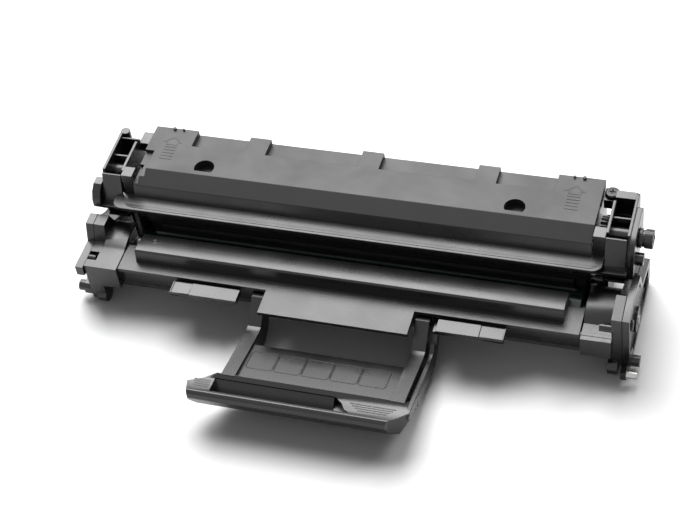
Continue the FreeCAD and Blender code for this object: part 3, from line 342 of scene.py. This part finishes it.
class Workshop:
    """Keeps the built materials and turns bmesh work into dressed pieces."""

    def __init__(self) -> None:
        """Starts with no material built."""
        self.built: dict[str, bpy.types.Material] = {}
        self.smoother = self.smooth_group()

    def material(self, finish: Finish) -> bpy.types.Material:
        """Gives the finish's material, built once."""
        if finish.name not in self.built:
            self.built[finish.name] = finish.build()
        return self.built[finish.name]

    def smooth_group(self) -> bpy.types.NodeTree:
        """Builds the shading group: smooth faces, with edges over SHARP_DEGREES left sharp.

        Returns:
            The geometry node group.
        """
        group = bpy.data.node_groups.new("shade_by_angle", "GeometryNodeTree")
        group.interface.new_socket("Geometry", in_out="INPUT", socket_type="NodeSocketGeometry")
        group.interface.new_socket("Geometry", in_out="OUTPUT", socket_type="NodeSocketGeometry")
        source = add_node(group, "NodeGroupInput").outputs[0]
        smooth = add_node(group, "GeometryNodeSetShadeSmooth",
                          {"domain": "FACE", "Shade Smooth": True}, {0: source})
        angle = add_node(group, "GeometryNodeInputMeshEdgeAngle").outputs["Unsigned Angle"]
        over = add_node(group, "FunctionNodeCompare",
                        {"data_type": "FLOAT", "operation": "GREATER_THAN", 1: math.radians(SHARP_DEGREES)},
                        {0: angle})
        sharp = add_node(group, "GeometryNodeSetShadeSmooth",
                         {"domain": "EDGE", "Shade Smooth": False},
                         {0: smooth.outputs[0], "Selection": over.outputs[0]})
        add_node(group, "NodeGroupOutput", {}, {0: sharp.outputs[0]})
        return group

    def soften(self, piece: bpy.types.Object, edge_mm: float) -> None:
        """Welds, rounds the edges and shades a piece through modifiers.

        Args:
            piece: The object that gets the modifiers.
            edge_mm: Width of the rounded edge, or 0 for none.
        """
        weld = piece.modifiers.new("weld", "WELD")
        weld.merge_threshold = WELD_METRES
        if edge_mm > 0:
            bevel = piece.modifiers.new("moulded_edge", "BEVEL")
            bevel.width = edge_mm / 1000.0
            bevel.segments = 2
            bevel.limit_method = "ANGLE"
            bevel.angle_limit = math.radians(BEVEL_DEGREES)
            bevel.use_clamp_overlap = True
            bevel.miter_outer = "MITER_ARC"
        shade = piece.modifiers.new("shade", "NODES")
        shade.node_group = self.smoother
        flat = piece.modifiers.new("flat_faces", "WEIGHTED_NORMAL")
        flat.mode = "FACE_AREA"
        flat.weight = 100
        flat.keep_sharp = True

    def finish_piece(self, name: str, shape: bmesh.types.BMesh, finish: Finish, slot: str,
                     body: str, edge_mm: float = 0.15) -> bpy.types.Object:
        """Makes an object of a bmesh, dresses it and lets it ride on its body.

        Args:
            name: The piece's name.
            shape: Its mesh, freed here.
            finish: Its material.
            slot: The record's material slot; not used.
            body: The CAD body that carries it.
            edge_mm: Width of the rounded edges.

        Returns:
            The object.
        """
        bmesh.ops.recalc_face_normals(shape, faces=shape.faces)
        mesh = bpy.data.meshes.new(name)
        shape.to_mesh(mesh)
        shape.free()
        piece = bpy.data.objects.new(name, mesh)
        bpy.context.scene.collection.objects.link(piece)
        mesh.materials.append(self.material(finish))
        self.soften(piece, edge_mm)
        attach(piece, body)
        log.info("built %s", name)
        return piece


def add_bar(shape: bmesh.types.BMesh, start: Vector, end: Vector, width: float, height: float,
            up: Vector) -> None:
    """Adds a low bar between two points on a face.

    Args:
        shape: The mesh that gets it.
        start: One end on the face.
        end: The other end on the face.
        width: Its width in metres.
        height: How far it stands up, with the same depth below the face.
        up: The face's normal.
    """
    along = (end - start).normalized()
    side = up.cross(along).normalized()
    turn = Matrix((along, side, up)).transposed().to_4x4()
    size = Matrix.Diagonal(((end - start).length + width, width, height * 2, 1.0))
    place = Matrix.Translation((start + end) / 2) @ turn @ size
    bmesh.ops.create_cube(shape, size=1.0, matrix=place)


def add_outline(shape: bmesh.types.BMesh, points: list[Vector], width: float, height: float,
                up: Vector) -> None:
    """Adds a raised closed line with mitred corners, low and crowned like an engraved mould leaves it.

    Args:
        shape: The mesh that gets it.
        points: Corners of the closed line on a face, in order round it.
        width: Its width in metres.
        height: How far it stands up, with the same depth below the face.
        up: The face's normal.
    """
    rows = []
    for index, point in enumerate(points):
        before = (point - points[index - 1]).normalized()
        after = (points[(index + 1) % len(points)] - point).normalized()
        side = up.cross(before + after).normalized()
        reach = side * (width / 2) / max(0.35, side.dot(up.cross(after)))
        low, high = point - up * height, point + up * height
        rows.append([shape.verts.new(place) for place in (
            low - reach, point + up * height * 0.4 - reach, high - reach * 0.4, high + reach * 0.4,
            point + up * height * 0.4 + reach, low + reach)])
    for index, row in enumerate(rows):
        following = rows[(index + 1) % len(rows)]
        for first in range(len(row)):
            second = (first + 1) % len(row)
            shape.faces.new((row[first], row[second], following[second], following[first]))


def add_prism(shape: bmesh.types.BMesh, outline: list[tuple[float, float]], low_x: float,
              high_x: float) -> None:
    """Adds a solid with an outline in the YZ plane, drawn out along x.

    Args:
        shape: The mesh that gets it.
        outline: Corners as y and z in mm on the plate's axes.
        low_x: Where it starts along x, in mm.
        high_x: Where it ends.
    """
    near = [shape.verts.new(mm(low_x, y, z)) for y, z in outline]
    far = [shape.verts.new(mm(high_x, y, z)) for y, z in outline]
    shape.faces.new(near)
    shape.faces.new(list(reversed(far)))
    for index in range(len(outline)):
        following = (index + 1) % len(outline)
        shape.faces.new((near[index], far[index], far[following], near[following]))


def circle(centre: tuple[float, float], radius: float, steps: int = 32) -> list[tuple[float, float]]:
    """Gives the points of a circle.

    Args:
        centre: Its two coordinates in mm.
        radius: Its radius in mm.
        steps: How many points.

    Returns:
        Points round it.
    """
    turns = [2 * math.pi * step / steps for step in range(steps)]
    return [(centre[0] + radius * math.cos(a), centre[1] + radius * math.sin(a)) for a in turns]


def add_bored_plate(shape: bmesh.types.BMesh, outline: list[tuple[float, float]],
                    centre: tuple[float, float], radius: float, low_x: float, high_x: float) -> None:
    """Adds a plate across x with one round hole through it.

    Args:
        shape: The mesh that gets it.
        outline: Corners as y and z in mm on the plate's axes.
        centre: The hole's y and z.
        radius: The hole's radius in mm.
        low_x: Where the plate starts along x, in mm.
        high_x: Where it ends.
    """
    sides = []
    for x in (low_x, high_x):
        outer = [shape.verts.new(mm(x, y, z)) for y, z in outline]
        inner = [shape.verts.new(mm(x, y, z)) for y, z in circle(centre, radius)]
        edges = [shape.edges.new((row[index - 1], row[index]))
                 for row in (outer, inner) for index in range(len(row))]
        bmesh.ops.triangle_fill(shape, use_beauty=True, edges=edges, normal=Vector((1, 0, 0)))
        sides.append((outer, inner))
    for near, far in zip(*sides):
        for index in range(len(near)):
            shape.faces.new((near[index - 1], near[index], far[index], far[index - 1]))


def add_slab(shape: bmesh.types.BMesh, outline: list[tuple[float, float]], low_z: float,
             high_z: float) -> None:
    """Adds a solid with an outline in the XY plane, drawn out along z.

    Args:
        shape: The mesh that gets it.
        outline: Corners as x and y in mm on the plate's axes.
        low_z: Where it starts along z, in mm.
        high_z: Where it ends.
    """
    under = [shape.verts.new(mm(x, y, low_z)) for x, y in outline]
    top = [shape.verts.new(mm(x, y, high_z)) for x, y in outline]
    shape.faces.new(list(reversed(under)))
    shape.faces.new(top)
    for index in range(len(outline)):
        following = (index + 1) % len(outline)
        shape.faces.new((under[index], under[following], top[following], top[index]))


def rounded_box(left: float, right: float, low: float, high: float,
                corner: float) -> list[tuple[float, float]]:
    """Gives the points of a rectangle with rounded corners, in mm.

    Args:
        left: Its least x.
        right: Its greatest x.
        low: Its least y.
        high: Its greatest y.
        corner: Radius of its corners.

    Returns:
        Points round it, counter-clockwise.
    """
    points = []
    centres = ((right - corner, low + corner, -90), (right - corner, high - corner, 0),
               (left + corner, high - corner, 90), (left + corner, low + corner, 180))
    for x, y, start in centres:
        for step in range(5):
            turn = math.radians(start + step * 22.5)
            points.append((x + corner * math.cos(turn), y + corner * math.sin(turn)))
    return points


@dataclass
class CadPieces:
    """The CAD nodes, each with its finish and softened edges."""

    shop: Workshop
    edges_mm: dict[str, float] = field(default_factory=lambda: {
        "waste_cover": 0.35, "waste_frame": 0.3, "handle": 0.7, "hopper_body": 0.4, "hopper_lid": 0.35,
        "right_side_housing": 0.3, "left_side_housing": 0.3, "right_end_cap": 0.4,
        "left_end_cap": 0.4, "drive_coupling": 0.25, "guide_pin": 0.3, "drum_tube": 0.2,
    })

    def dress(self) -> None:
        """Gives every node its material and its modifiers."""
        slots = {part["node"]: part["material_slot"] for part in frame["record"]["subparts"]}
        for name, piece in frame["nodes"].items():
            finish = SLOT_FINISHES[slots[name]]
            if not piece.material_slots:
                piece.data.materials.append(None)
            for material_slot in piece.material_slots:
                material_slot.link = "OBJECT"
                material_slot.material = self.shop.material(finish)
            self.shop.soften(piece, self.edges_mm.get(name, 0.0))
            log.info("dressed %s", name)


@dataclass
class LidMarks:
    """The plain raised arrows near both ends of the lid's top."""

    shop: Workshop
    front_y: float = 44.9
    front_z: float = 29.8
    back_y: float = 76.4
    back_z: float = 28.8
    line: float = 0.6
    height: float = 0.13
    centres: tuple[float, float] = (-106.8, 106.1)
    tip_y: float = 69.6
    shoulder_y: float = 65.8
    neck_y: float = 63.9
    head_half: float = 4.6
    stem_half: float = 2.9
    bars: int = 5
    first_bar_y: float = 62.2
    bar_pitch: float = 2.2

    def on_lid(self, x: float, y: float) -> Vector:
        """Gives the point of the lid's sloping top at x and y, in metres."""
        share = (y - self.front_y) / (self.back_y - self.front_y)
        return mm(x, y, self.front_z + share * (self.back_z - self.front_z))

    def normal(self) -> Vector:
        """Gives the normal of the lid's top."""
        origin = self.on_lid(0, 50)
        return (self.on_lid(1, 50) - origin).cross(self.on_lid(0, 60) - origin).normalized()

    def build(self) -> None:
        """Builds one arrow at each end: an open head and the bars below it."""
        shape = bmesh.new()
        for x in self.centres:
            wide, narrow = self.head_half, self.stem_half
            head = [(x, self.tip_y), (x - wide, self.shoulder_y), (x - narrow, self.shoulder_y),
                    (x - narrow, self.neck_y), (x + narrow, self.neck_y), (x + narrow, self.shoulder_y),
                    (x + wide, self.shoulder_y)]
            add_outline(shape, [self.on_lid(*point) for point in head], self.line / 1000,
                        self.height / 1000, self.normal())
            for row in range(self.bars):
                y = self.first_bar_y - row * self.bar_pitch
                add_bar(shape, self.on_lid(x - narrow, y), self.on_lid(x + narrow, y),
                        self.line / 1000, self.height / 1000, self.normal())
        self.shop.finish_piece("lid_arrows", shape, LID, "lid_plastic", "shell", 0.0)


@dataclass
class FlangeRim:
    """The lid flange's outer rim, which laps over its front edge and its ends, and the skirt below it."""

    shop: Workshop
    left: float = -130.2
    right: float = 125.9
    front: float = 26.6
    back: float = 40.0
    inner_back: float = 36.3
    inner_left: float = -119.4
    inner_right: float = 119.4
    top: float = 17.08
    under: float = 14.7
    level_y: float = 31.0
    slope: float = 0.085
    skirt_left: float = -114.4
    skirt_right: float = 112.0
    skirt_foot: float = 11.6
    skirt_sunk: float = 1.2
    skirt_set: float = 0.1
    skirt_lean: float = 0.8
    skirt_deep: float = 2.3
    corner: float = 5.0

    def build(self) -> None:
        """Builds the rim as one plate whose top falls to its rounded front corners, and the skirt."""
        outline = []
        for x, y, start in ((self.left + self.corner, self.front + self.corner, 180),
                            (self.right - self.corner, self.front + self.corner, 270)):
            for step in range(9):
                turn = math.radians(start + step * 11.25)
                outline.append((x + self.corner * math.cos(turn), y + self.corner * math.sin(turn)))
        outline += [(self.right, self.back), (self.inner_right, self.back),
                    (self.inner_right, self.inner_back), (self.inner_left, self.inner_back),
                    (self.inner_left, self.back), (self.left, self.back)]
        shape = bmesh.new()
        add_slab(shape, outline, self.under, self.top)
        middle = mm(0, self.level_y, (self.under + self.top) / 2)
        for corner in shape.verts:
            if corner.co.z > middle.z:
                corner.co.z += (corner.co.y - middle.y) * self.slope
        face, head = self.front + self.skirt_set, self.under + self.skirt_sunk
        add_prism(shape, [(face, head), (face + self.skirt_deep, head),
                          (face + self.skirt_deep, self.skirt_foot),
                          (face + self.skirt_lean, self.skirt_foot)], self.skirt_left, self.skirt_right)
        self.shop.finish_piece("lid_flange_rim", shape, LID, "lid_plastic", "shell", 0.35)


@dataclass
class RidgeTop:
    """The cover plate's ridge: a level polished strip along its front and the slope behind it."""

    shop: Workshop
    half: float = 111.45
    front: float = 7.4
    split: float = 12.9
    split_z: float = 7.55
    back: float = 21.0
    back_z: float = 5.42
    ring: tuple[float, float] = (-103.4, 15.6)
    ring_radius: float = 1.25
    ring_line: float = 0.6
    ring_height: float = 0.3

    def build(self) -> None:
        """Builds the strip with its slope, and the small ring near its left end."""
        shape = bmesh.new()
        add_prism(shape, [(self.front + 0.3, 6.9), (self.front, 7.3), (self.front + 0.5, 7.7),
                          (self.split, self.split_z), (self.back, self.back_z), (self.back - 0.5, 5.1)],
                  -self.half, self.half)
        slope = (self.back_z - self.split_z) / (self.back - self.split)
        height = self.split_z + (self.ring[1] - self.split) * slope
        up = Vector((0.0, -slope, 1.0)).normalized()
        points = [mm(x, y, height + (y - self.ring[1]) * slope)
                  for x, y in circle(self.ring, self.ring_radius, 20)]
        add_outline(shape, points, self.ring_line / 1000, self.ring_height / 1000, up)
        self.shop.finish_piece("cover_ridge_top", shape, TEXTURED, "textured_plastic", "shell", 0.25)


@dataclass
class SideHousing:
    """One side housing of the hopper: two plates, the walls between them and the hub of the coupling.

    Its outlines are y and z in mm on the plate's axes, read off the photograph through the fitted camera.
    """

    shop: Workshop
    on_left: bool
    hopper: float = 119.9
    inner: float = 125.6
    outer: float = 136.0
    thick: float = 1.5
    axis: tuple[float, float] = (49.5, 19.5)
    hub: float = 4.3
    bore: float = 2.97
    cover_bore: float = 5.4
    cover_reach: float = 4.2
    stub: tuple[float, float] = (42.0, 12.6)
    stub_radius: float = 3.3
    stub_bore: float = 1.5
    stub_reach: float = 8.0
    lobe_end: float = 142.0

    def across(self, x: float) -> float:
        """Gives the x of this end for a distance from the middle, both in mm."""
        return -x if self.on_left else x

    def plates(self, shape: bmesh.types.BMesh) -> None:
        """Builds the inner plate over the gears, the outer plate and the hub between them.

        Args:
            shape: The mesh that gets them.
        """
        inner = [(35.0, 3), (35.0, 12), (38.6, 22), (41.2, 29.7), (62.5, 29.9), (65.4, 25.8), (70, 25),
                 (70, -8), (64, -24), (42, -24), (39, -20), (39, 3)]
        outer = [(35.0, 3), (34.0, 12), (37.2, 21), (41.0, 29.4), (67.5, 29.7), (70.4, 28.4), (71.2, 25),
                 (70.6, 8), (62, 3)]
        a, b = self.across(self.inner), self.across(self.inner + self.thick)
        c, d = self.across(self.outer), self.across(self.outer + self.thick)
        if self.on_left:
            add_prism(shape, inner, a, b)
        else:
            add_bored_plate(shape, inner, self.axis, self.bore, a, b)
        add_bored_plate(shape, outer, self.axis, self.bore, c, d)
        add_bored_plate(shape, circle(self.axis, self.hub), self.axis, self.bore,
                        self.across(self.inner + 1), self.across(self.outer + 1))

    def walls(self, shape: bmesh.types.BMesh) -> None:
        """Builds the walls between the plates.

        Args:
            shape: The mesh that gets them.
        """
        near, far = self.across(self.inner + 0.4), self.across(self.outer + 0.4)
        back = [(65.2, 4), (66.4, 4), (66.4, 28.2), (65.2, 28.2)]
        if not self.on_left:
            back = [(65.2, 4), (66.4, 4), (66.4, 28.0), (70.2, 28.0), (70.2, 29.2), (65.2, 29.2)]
        for outline in ([(33.0, 12.6), (34.4, 12.6), (38.6, 29.3), (37.4, 29.5)],
                        [(36.5, 3), (38, 3), (38, 12.6), (36.5, 12.6)],
                        [(33, 3), (62, 3), (62, 4.5), (33, 4.5)],
                        [(53.6, 4), (54.8, 4), (54.8, 27.0), (53.6, 27.0)],
                        [(54.4, 16.2), (65.6, 16.2), (65.6, 17.6), (54.4, 17.6)], back):
            add_prism(shape, outline, near, far)
        add_prism(shape, [(29.9, 11.2), (37.2, 11.2), (37.2, 13.0), (29.9, 13.0)],
                  self.across(self.inner - 0.6), self.across(self.outer + 1.4))
        add_prism(shape, [(59.6, 17.2), (61.0, 17.2), (61.0, 20.4), (59.6, 20.4)],
                  self.across(self.outer - 5.4), self.across(self.outer - 1.0))
        add_prism(shape, [(65.5, 20), (74, 20), (74, 25.9), (65.5, 25.9)],
                  self.across(self.hopper + 0.2), self.across(self.inner + 1))
        add_prism(shape, [(36.6, 17.2), (37.8, 17.2), (38.6, 28.5), (44.4, 28.5), (44.4, 29.6), (37.6, 29.6)],
                  self.across(self.hopper), self.across(self.inner + 0.4))

    def outside(self, shape: bmesh.types.BMesh) -> None:
        """Builds what stands outside the outer plate: a lobe on the left, the coupling's cover on the right.

        Args:
            shape: The mesh that gets it.
        """
        start = self.across(self.outer + self.thick - 0.1)
        if self.on_left:
            add_prism(shape, [(31.6, 9.4), (29.6, 12.0), (29.8, 16.4), (32.0, 20.6), (35.6, 23.2),
                              (40.6, 23.2), (40.6, 9.4)], start, self.across(self.lobe_end))
            add_slab(shape, [(self.across(x), y) for x, y in rounded_box(
                self.outer - 3.4, self.outer + self.thick, 67.0, 71.6, 2.0)], 20.0, 29.9)
            return
        add_bored_plate(shape, [(33.6, 6), (35, 20), (38.5, 26.4), (43, 28.4), (61, 28.4), (64.5, 25),
                                (64.5, 9), (60, 5)], self.axis, self.cover_bore, start,
                        self.outer + self.cover_reach)
        add_bored_plate(shape, circle(self.stub, self.stub_radius), self.stub, self.stub_bore,
                        self.outer + 1.0, self.outer + self.stub_reach)

    def build(self) -> None:
        """Builds the housing and lets it stand for the CAD's."""
        shape = bmesh.new()
        self.plates(shape)
        self.walls(shape)
        self.outside(shape)
        side = "left" if self.on_left else "right"
        piece = self.shop.finish_piece(f"{side}_housing_moulding", shape, HOUSING, "housing_plastic",
                                       "shell", 0.3)
        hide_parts(f"{side}_side_housing")


@dataclass
class GuideTrays:
    """The two shallow guide trays that stand out in front of the cover plate."""

    shop: Workshop
    back: float = -1.7
    front: float = -9.5
    top: float = -1.0
    thick: float = 1.2
    rim: float = 0.7
    rim_deep: float = 2.0
    step: float = 0.5
    step_thick: float = 1.1
    web_set: float = 2.4
    web_inset: float = 0.5
    web_back: float = -0.1
    web_foot: float = -5.6
    trays: tuple[tuple[float, float, float], ...] = ((-88.2, -52.4, -77.6), (51.0, 84.8, 72.6))

    def build(self) -> None:
        """Builds each tray: floor, step, rims and the web down to the frame."""
        shape = bmesh.new()
        for left, right, split in self.trays:
            outer = left if split < (left + right) / 2 else right
            inner = right if outer == left else left
            low, high = sorted((split, inner))
            add_slab(shape, [(low, self.front), (high, self.front), (high, self.back), (low, self.back)],
                     self.top - self.thick, self.top)
            low, high = sorted((split, outer))
            add_slab(shape, [(low, self.front), (high, self.front), (high, self.back), (low, self.back)],
                     self.top - self.step - self.step_thick, self.top - self.step)
            edge = sorted((outer, outer + math.copysign(self.rim, inner - outer)))
            add_slab(shape, [(edge[0], self.front), (edge[1], self.front), (edge[1], self.back),
                             (edge[0], self.back)], self.top - self.rim_deep, self.top)
            add_slab(shape, [(low, self.front), (high, self.front), (high, self.front + self.rim),
                             (low, self.front + self.rim)], self.top - self.rim_deep, self.top)
            start, end = left + self.web_inset, right - self.web_inset
            face = self.front + self.web_set
            add_slab(shape, [(start, face), (end, face), (end, self.web_back), (start, self.web_back)],
                     self.web_foot, self.top - self.thick)
        self.shop.finish_piece("guide_trays", shape, HOUSING, "housing_plastic", "shell", 0.2)


@dataclass
class HandlePanel:
    """Five empty framed boxes on the sunk panel, the ribs on the grip and the right arm's rim."""

    shop: Workshop
    back_y: float = -25.0
    back_z: float = -13.2
    front_y: float = -52.5
    front_z: float = -6.6
    line: float = 0.5
    height: float = 0.2
    row_left: float = -37.7
    box_wide: float = 13.7
    box_gap: float = 0.75
    box_back: float = -30.0
    box_front: float = -42.6
    box_corner: float = 1.6
    boxes_in_row: int = 5
    rib_rows: int = 4
    rib_pitch: float = 1.35
    rib_rise: float = 0.2
    rib_line: float = 0.45
    rib_height: float = 0.22
    first_rib: tuple[float, float] = (-56.0, -6.02)
    right_ribs: tuple[float, float] = (20.6, 43.0)
    left_ribs: tuple[float, float] = (-58.6, -50.6)

    def on_panel(self, x: float, y: float) -> Vector:
        """Gives the point of the panel's sloping top at x and y, in metres."""
        share = (y - self.back_y) / (self.front_y - self.back_y)
        return mm(x, y, self.back_z + share * (self.front_z - self.back_z))

    def boxes(self) -> None:
        """Builds the five frames."""
        origin = self.on_panel(0, -30)
        up = (self.on_panel(1, -30) - origin).cross(origin - self.on_panel(0, -40)).normalized()
        shape = bmesh.new()
        for index in range(self.boxes_in_row):
            left = self.row_left + index * (self.box_wide + self.box_gap)
            points = rounded_box(left, left + self.box_wide, self.box_front, self.box_back,
                                 self.box_corner)
            add_outline(shape, [self.on_panel(*point) for point in points], self.line / 1000,
                        self.height / 1000, up)
        self.shop.finish_piece("panel_boxes", shape, HOUSING, "housing_plastic", "shell", 0.0)

    def ribs(self) -> None:
        """Builds the ribs along the grip's top, right of the scoop and on its left end, each row shorter."""
        shape = bmesh.new()
        up = Vector((0.0, -0.15, 1.0)).normalized()
        line, height = self.rib_line / 1000, self.rib_height / 1000
        for row in range(self.rib_rows):
            y = self.first_rib[0] - row * self.rib_pitch
            z = self.first_rib[1] + row * self.rib_rise
            start, end = self.right_ribs
            add_bar(shape, mm(start + row * 1.6, y, z), mm(end - row * 1.2, y, z), line, height, up)
            start, end = self.left_ribs
            add_bar(shape, mm(start + row * 0.4, y, z), mm(end, y, z), line, height, up)
        self.shop.finish_piece("grip_ribs", shape, HOUSING, "housing_plastic", "shell", 0.0)

    def outer_rim(self) -> None:
        """Builds the right arm's outer rim, which runs on into the end of the grip."""
        shape = bmesh.new()
        add_prism(shape, [(-8.2, -12.6), (-12.0, -16.4), (-17.5, -16.6), (-38.0, -11.2), (-53.4, -7.2),
                          (-57.4, -6.9), (-58.4, -8.2), (-57.0, -11.6), (-49.0, -14.6), (-38.0, -18.4),
                          (-20.0, -24.0), (-11.0, -24.0)], 47.2, 49.9)
        add_prism(shape, [(-47.0, -9.6), (-57.0, -7.2), (-58.0, -8.4), (-56.6, -11.4), (-47.0, -15.0)],
                  44.6, 47.6)
        self.shop.finish_piece("handle_outer_rim", shape, HOUSING, "housing_plastic", "shell", 0.5)

    def build(self) -> None:
        """Builds the panel's frames, the grip's ribs and the outer rim."""
        self.boxes()
        self.ribs()
        self.outer_rim()


@dataclass
class CouplingKnurl:
    """The fine ribs round the drive coupling's outer end, which turn with it."""

    shop: Workshop
    axis_y: float = 49.5
    axis_z: float = 19.5
    radius: float = 4.66
    start_x: float = 143.7
    end_x: float = 147.1
    count: int = 28
    line: float = 0.45
    height: float = 0.16

    def build(self) -> None:
        """Builds the ribs, half sunk in the coupling."""
        shape = bmesh.new()
        for index in range(self.count):
            turn = 2 * math.pi * index / self.count
            up = Vector((0.0, math.cos(turn), math.sin(turn)))
            start = mm(self.start_x, self.axis_y, self.axis_z) + up * self.radius / 1000
            end = mm(self.end_x, self.axis_y, self.axis_z) + up * self.radius / 1000
            add_bar(shape, start, end, self.line / 1000, self.height / 1000, up)
        self.shop.finish_piece("coupling_knurl", shape, BLACK_ACETAL, "coupling_plastic", "coupling", 0.0)


@dataclass(frozen=True)
class Softbox:
    """One rectangular softbox: where it hangs and what it points at in metres, its size and its watts."""

    name: str
    place: tuple[float, float, float]
    aim: tuple[float, float, float]
    size: tuple[float, float]
    power: float

    def hang(self) -> None:
        """Hangs the softbox."""
        lamp = bpy.data.lights.new(self.name, "AREA")
        lamp.shape = "RECTANGLE"
        lamp.size, lamp.size_y = self.size
        lamp.energy = self.power
        holder = bpy.data.objects.new(self.name, lamp)
        way = Vector(self.aim) - Vector(self.place)
        turned = way.to_track_quat("-Z", "Y").to_matrix().to_4x4()
        holder.matrix_world = Matrix.Translation(self.place) @ turned
        bpy.context.scene.collection.objects.link(holder)


# Three large boxes stand one above the other where the camera's view is mirrored, so the level black faces
# shine evenly. The low one is weak: faces that slope back stay dark. The side one thins the front shadow.
SOFTBOXES: tuple[Softbox, ...] = (
    Softbox("low_softbox", (-0.46, 1.09, 0.57), (0.0, 0.01, 0.02), (1.1, 0.46), 4.0),
    Softbox("back_softbox", (-0.35, 0.84, 0.95), (0.0, 0.01, 0.02), (1.1, 0.48), 16.0),
    Softbox("top_softbox", (-0.21, 0.5, 1.21), (0.0, 0.01, 0.02), (1.1, 0.46), 13.0),
    Softbox("side_softbox", (0.75, 0.8, 1.0), (0.0, 0.0, 0.0), (0.45, 0.45), 5.0),
)


@dataclass
class Studio:
    """Pale floor, soft lamps and the camera at the photograph's angle.

    The angles are in degrees, the distance and the shifts in mm, the focal length in pixels of the photograph.
    """

    turn: float = 22.89
    rise: float = 48.02
    roll: float = -9.55
    focal_px: float = 1730.0
    distance: float = 860.0
    shift_right: float = -5.1
    shift_up: float = -17.7
    photo_width: float = 700.0
    sensor_mm: float = 36.0
    room_light: float = 0.14
    floor_half: float = 4.0
    fleck_mm: float = 60.0

    def camera(self) -> None:
        """Stands the camera where the fit of the photograph's corners puts it."""
        turn, rise, roll = (math.radians(v) for v in (self.turn, self.rise, self.roll))
        back = Vector((math.sin(turn) * math.cos(rise), -math.cos(turn) * math.cos(rise), math.sin(rise)))
        right = Vector((math.cos(turn), math.sin(turn), 0.0))
        up = back.cross(right)
        across = right * math.cos(roll) + up * math.sin(roll)
        upward = up * math.cos(roll) - right * math.sin(roll)
        place = back * self.distance - across * self.shift_right - upward * self.shift_up
        lens = bpy.data.cameras.new("photo_lens")
        lens.sensor_width = self.sensor_mm
        lens.lens = self.focal_px * self.sensor_mm / self.photo_width
        camera = bpy.data.objects.new("photo_camera", lens)
        turned = Matrix((across, upward, back)).transposed().to_4x4()
        camera.matrix_world = Matrix.Translation(mm(*place)) @ turned
        bpy.context.scene.collection.objects.link(camera)
        bpy.context.scene.camera = camera

    def looked_at(self, tree: bpy.types.NodeTree) -> bpy.types.NodeSocket:
        """Tells the rays that look at the background, straight or by way of gloss or glass.

        Args:
            tree: The tree that gets the nodes.

        Returns:
            A socket that is 1 for those rays.
        """
        path = add_node(tree, "ShaderNodeLightPath")
        gloss = add_node(tree, "ShaderNodeMath", {"operation": "MAXIMUM"},
                         {0: path.outputs["Is Glossy Ray"], 1: path.outputs["Is Transmission Ray"]})
        return add_node(tree, "ShaderNodeMath", {"operation": "MAXIMUM"},
                        {0: path.outputs["Is Camera Ray"], 1: gloss.outputs[0]}).outputs[0]

    def floor(self) -> None:
        """Lays the pale floor, which shows white but keeps the shadow."""
        material = bpy.data.materials.new("painted_white_board")
        material.use_nodes = True
        tree = material.node_tree
        tree.nodes.clear()
        place = add_node(tree, "ShaderNodeTexCoord").outputs["Object"]
        fleck = add_node(tree, "ShaderNodeTexNoise", {"Scale": per_mm(self.fleck_mm), "Detail": 3.0},
                         {"Vector": place})
        tone = add_node(tree, "ShaderNodeMix",
                        {"data_type": "RGBA", 6: linear("f3f3f4"), 7: linear("f7f7f7")},
                        {0: fleck.outputs["Fac"]})
        board = add_node(tree, "ShaderNodeBsdfPrincipled", {"Roughness": 0.75},
                         {"Base Color": tone.outputs[2]})
        add_node(tree, "ShaderNodeOutputMaterial", {}, {"Surface": board.outputs[0]})
        shape = bmesh.new()
        bmesh.ops.create_grid(shape, x_segments=2, y_segments=2, size=self.floor_half)
        mesh = bpy.data.meshes.new("floor")
        shape.to_mesh(mesh)
        shape.free()
        mesh.materials.append(material)
        board_object = bpy.data.objects.new("floor", mesh)
        bpy.context.scene.collection.objects.link(board_object)

    def world(self) -> None:
        """Sets a pale room that shows white behind the floor."""
        world = bpy.data.worlds.new("white_room")
        bpy.context.scene.world = world
        world.use_nodes = True
        tree = world.node_tree
        tree.nodes.clear()
        room = add_node(tree, "ShaderNodeBackground", {"Color": (1, 1, 1, 1), "Strength": self.room_light})
        shown = add_node(tree, "ShaderNodeBackground", {"Color": (1, 1, 1, 1), "Strength": 1.0})
        mixed = add_node(tree, "ShaderNodeMixShader", {},
                         {0: self.looked_at(tree), 1: room.outputs[0], 2: shown.outputs[0]})
        add_node(tree, "ShaderNodeOutputWorld", {}, {"Surface": mixed.outputs[0]})

    def build(self) -> None:
        """Builds the whole studio."""
        self.floor()
        self.world()
        for box in SOFTBOXES:
            box.hang()
        self.camera()
        bpy.context.scene.view_settings.view_transform = "Standard"
        log.info("built studio")


def main() -> None:
    """Dresses the CAD pieces, then builds the added mouldings, the marks and the studio."""
    logging.basicConfig(level=logging.INFO, format="%(name)s: %(message)s")
    shop = Workshop()
    CadPieces(shop).dress()
    FlangeRim(shop).build()
    RidgeTop(shop).build()
    SideHousing(shop, on_left=False).build()
    SideHousing(shop, on_left=True).build()
    GuideTrays(shop).build()
    LidMarks(shop).build()
    HandlePanel(shop).build()
    CouplingKnurl(shop).build()
    Studio().build()


if __name__ == "__main__":
    main()
